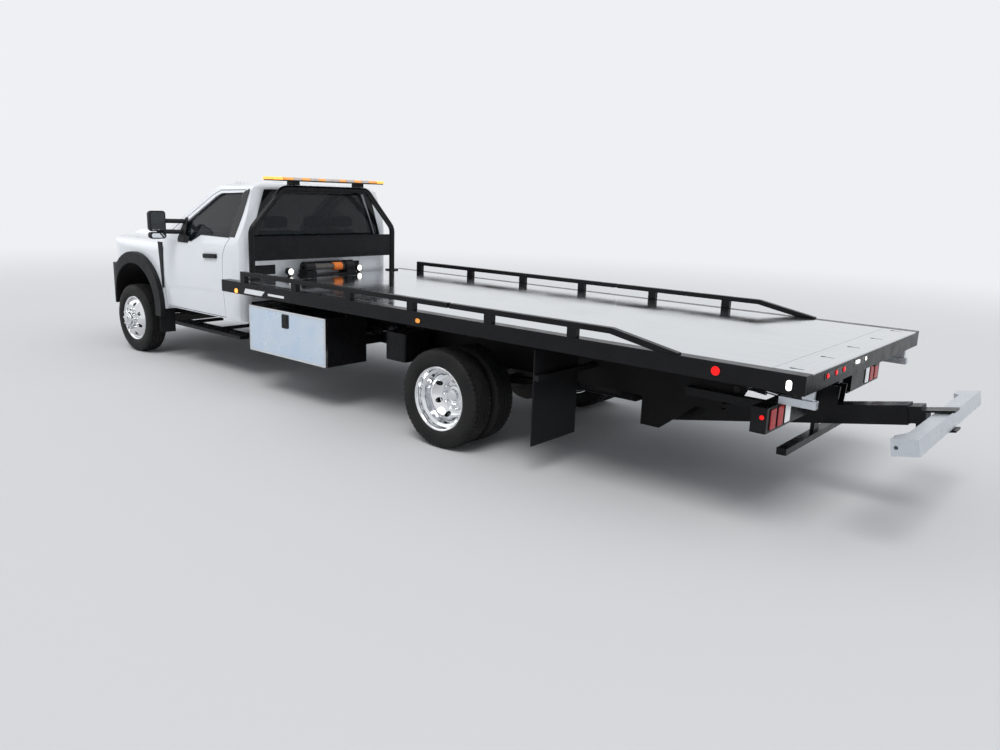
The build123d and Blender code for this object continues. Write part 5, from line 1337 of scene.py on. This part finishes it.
# node, finish, slot in the record, edge radius in metres
dressed = (
    ("chassis_frame", "underBlack", "frame_paint", 0.0015),
    ("engine_block", "castIron", "cast", 0.01),
    ("axles", "castIron", "cast", 0.004),
    ("leaf_springs", "underBlack", "steel", 0.001),
    ("drive_shaft", "bareSteel", "steel", 0.002),
    ("exhaust", "bareSteel", "steel", 0.003),
    ("tanks", "frameBlack", "frame_paint", 0.004),
    ("knuckle_left", "castIron", "cast", 0.003),
    ("knuckle_right", "castIron", "cast", 0.003),
    ("cab_shell", "cabWhite", "cab_paint", 0.003),
    ("cab_glass", "tintedGlass", "glass", 0.0),
    ("door_left", "cabWhite", "cab_paint", 0.003),
    ("door_right", "cabWhite", "cab_paint", 0.003),
    ("door_glass_left", "tintedGlass", "glass", 0.0),
    ("door_glass_right", "tintedGlass", "glass", 0.0),
    ("hood", "cabWhite", "cab_paint", 0.004),
    ("fenders", "cabWhite", "cab_paint", 0.003),
    ("wheel_flares", "trimGrain", "trim", 0.010),
    ("grille", "trimGrain", "trim", 0.004),
    ("headlamps", "clearLens", "lamp", 0.006),
    ("front_bumper", "trimGrain", "trim", 0.012),
    ("dashboard", "dashPlastic", "trim", 0.012),
    ("steering_wheel", "dashPlastic", "trim", 0.006),
    ("running_boards", "frameBlack", "frame_paint", 0.003),
    ("tilt_frame", "frameBlack", "frame_paint", 0.003),
    ("tilt_barrels", "frameBlack", "frame_paint", 0.003),
    ("tilt_rods", "rodChrome", "rod_chrome", 0.001),
    ("bed_frame", "frameBlack", "frame_paint", 0.002),
    ("deck_plate", "deckMetal", "tread_plate", 0.001),
    ("tail_plate", "tailMetal", "tread_plate", 0.001),
    ("side_rails", "frameBlack", "frame_paint", 0.004),
    ("stowed_arms", "zinc", "galvanised", 0.004),
    ("headboard", "frameBlack", "frame_paint", 0.006),
    ("winch", "frameBlack", "frame_paint", 0.004),
    ("work_lamps", "trimGrain", "lamp", 0.004),
    ("toolboxes", "frameBlack", "frame_paint", 0.001),
    ("toolbox_door_left", "tailMetal", "tread_plate", 0.002),
    ("toolbox_door_right", "tailMetal", "tread_plate", 0.002),
    ("mud_flaps", "flapRubber", "rubber", 0.002),
    ("lamp_panels", "frameBlack", "frame_paint", 0.004),
    ("lift_boom", "frameBlack", "frame_paint", 0.004),
    ("lift_stage", "frameBlack", "frame_paint", 0.003),
    ("crossbar", "zinc", "galvanised", 0.008),
    ("lift_barrel", "frameBlack", "frame_paint", 0.003),
    ("lift_rod", "rodChrome", "rod_chrome", 0.001),
)
for node, finish, slotName, edge in dressed:
    dress(node, finish, edge)
print("carried-over nodes dressed")
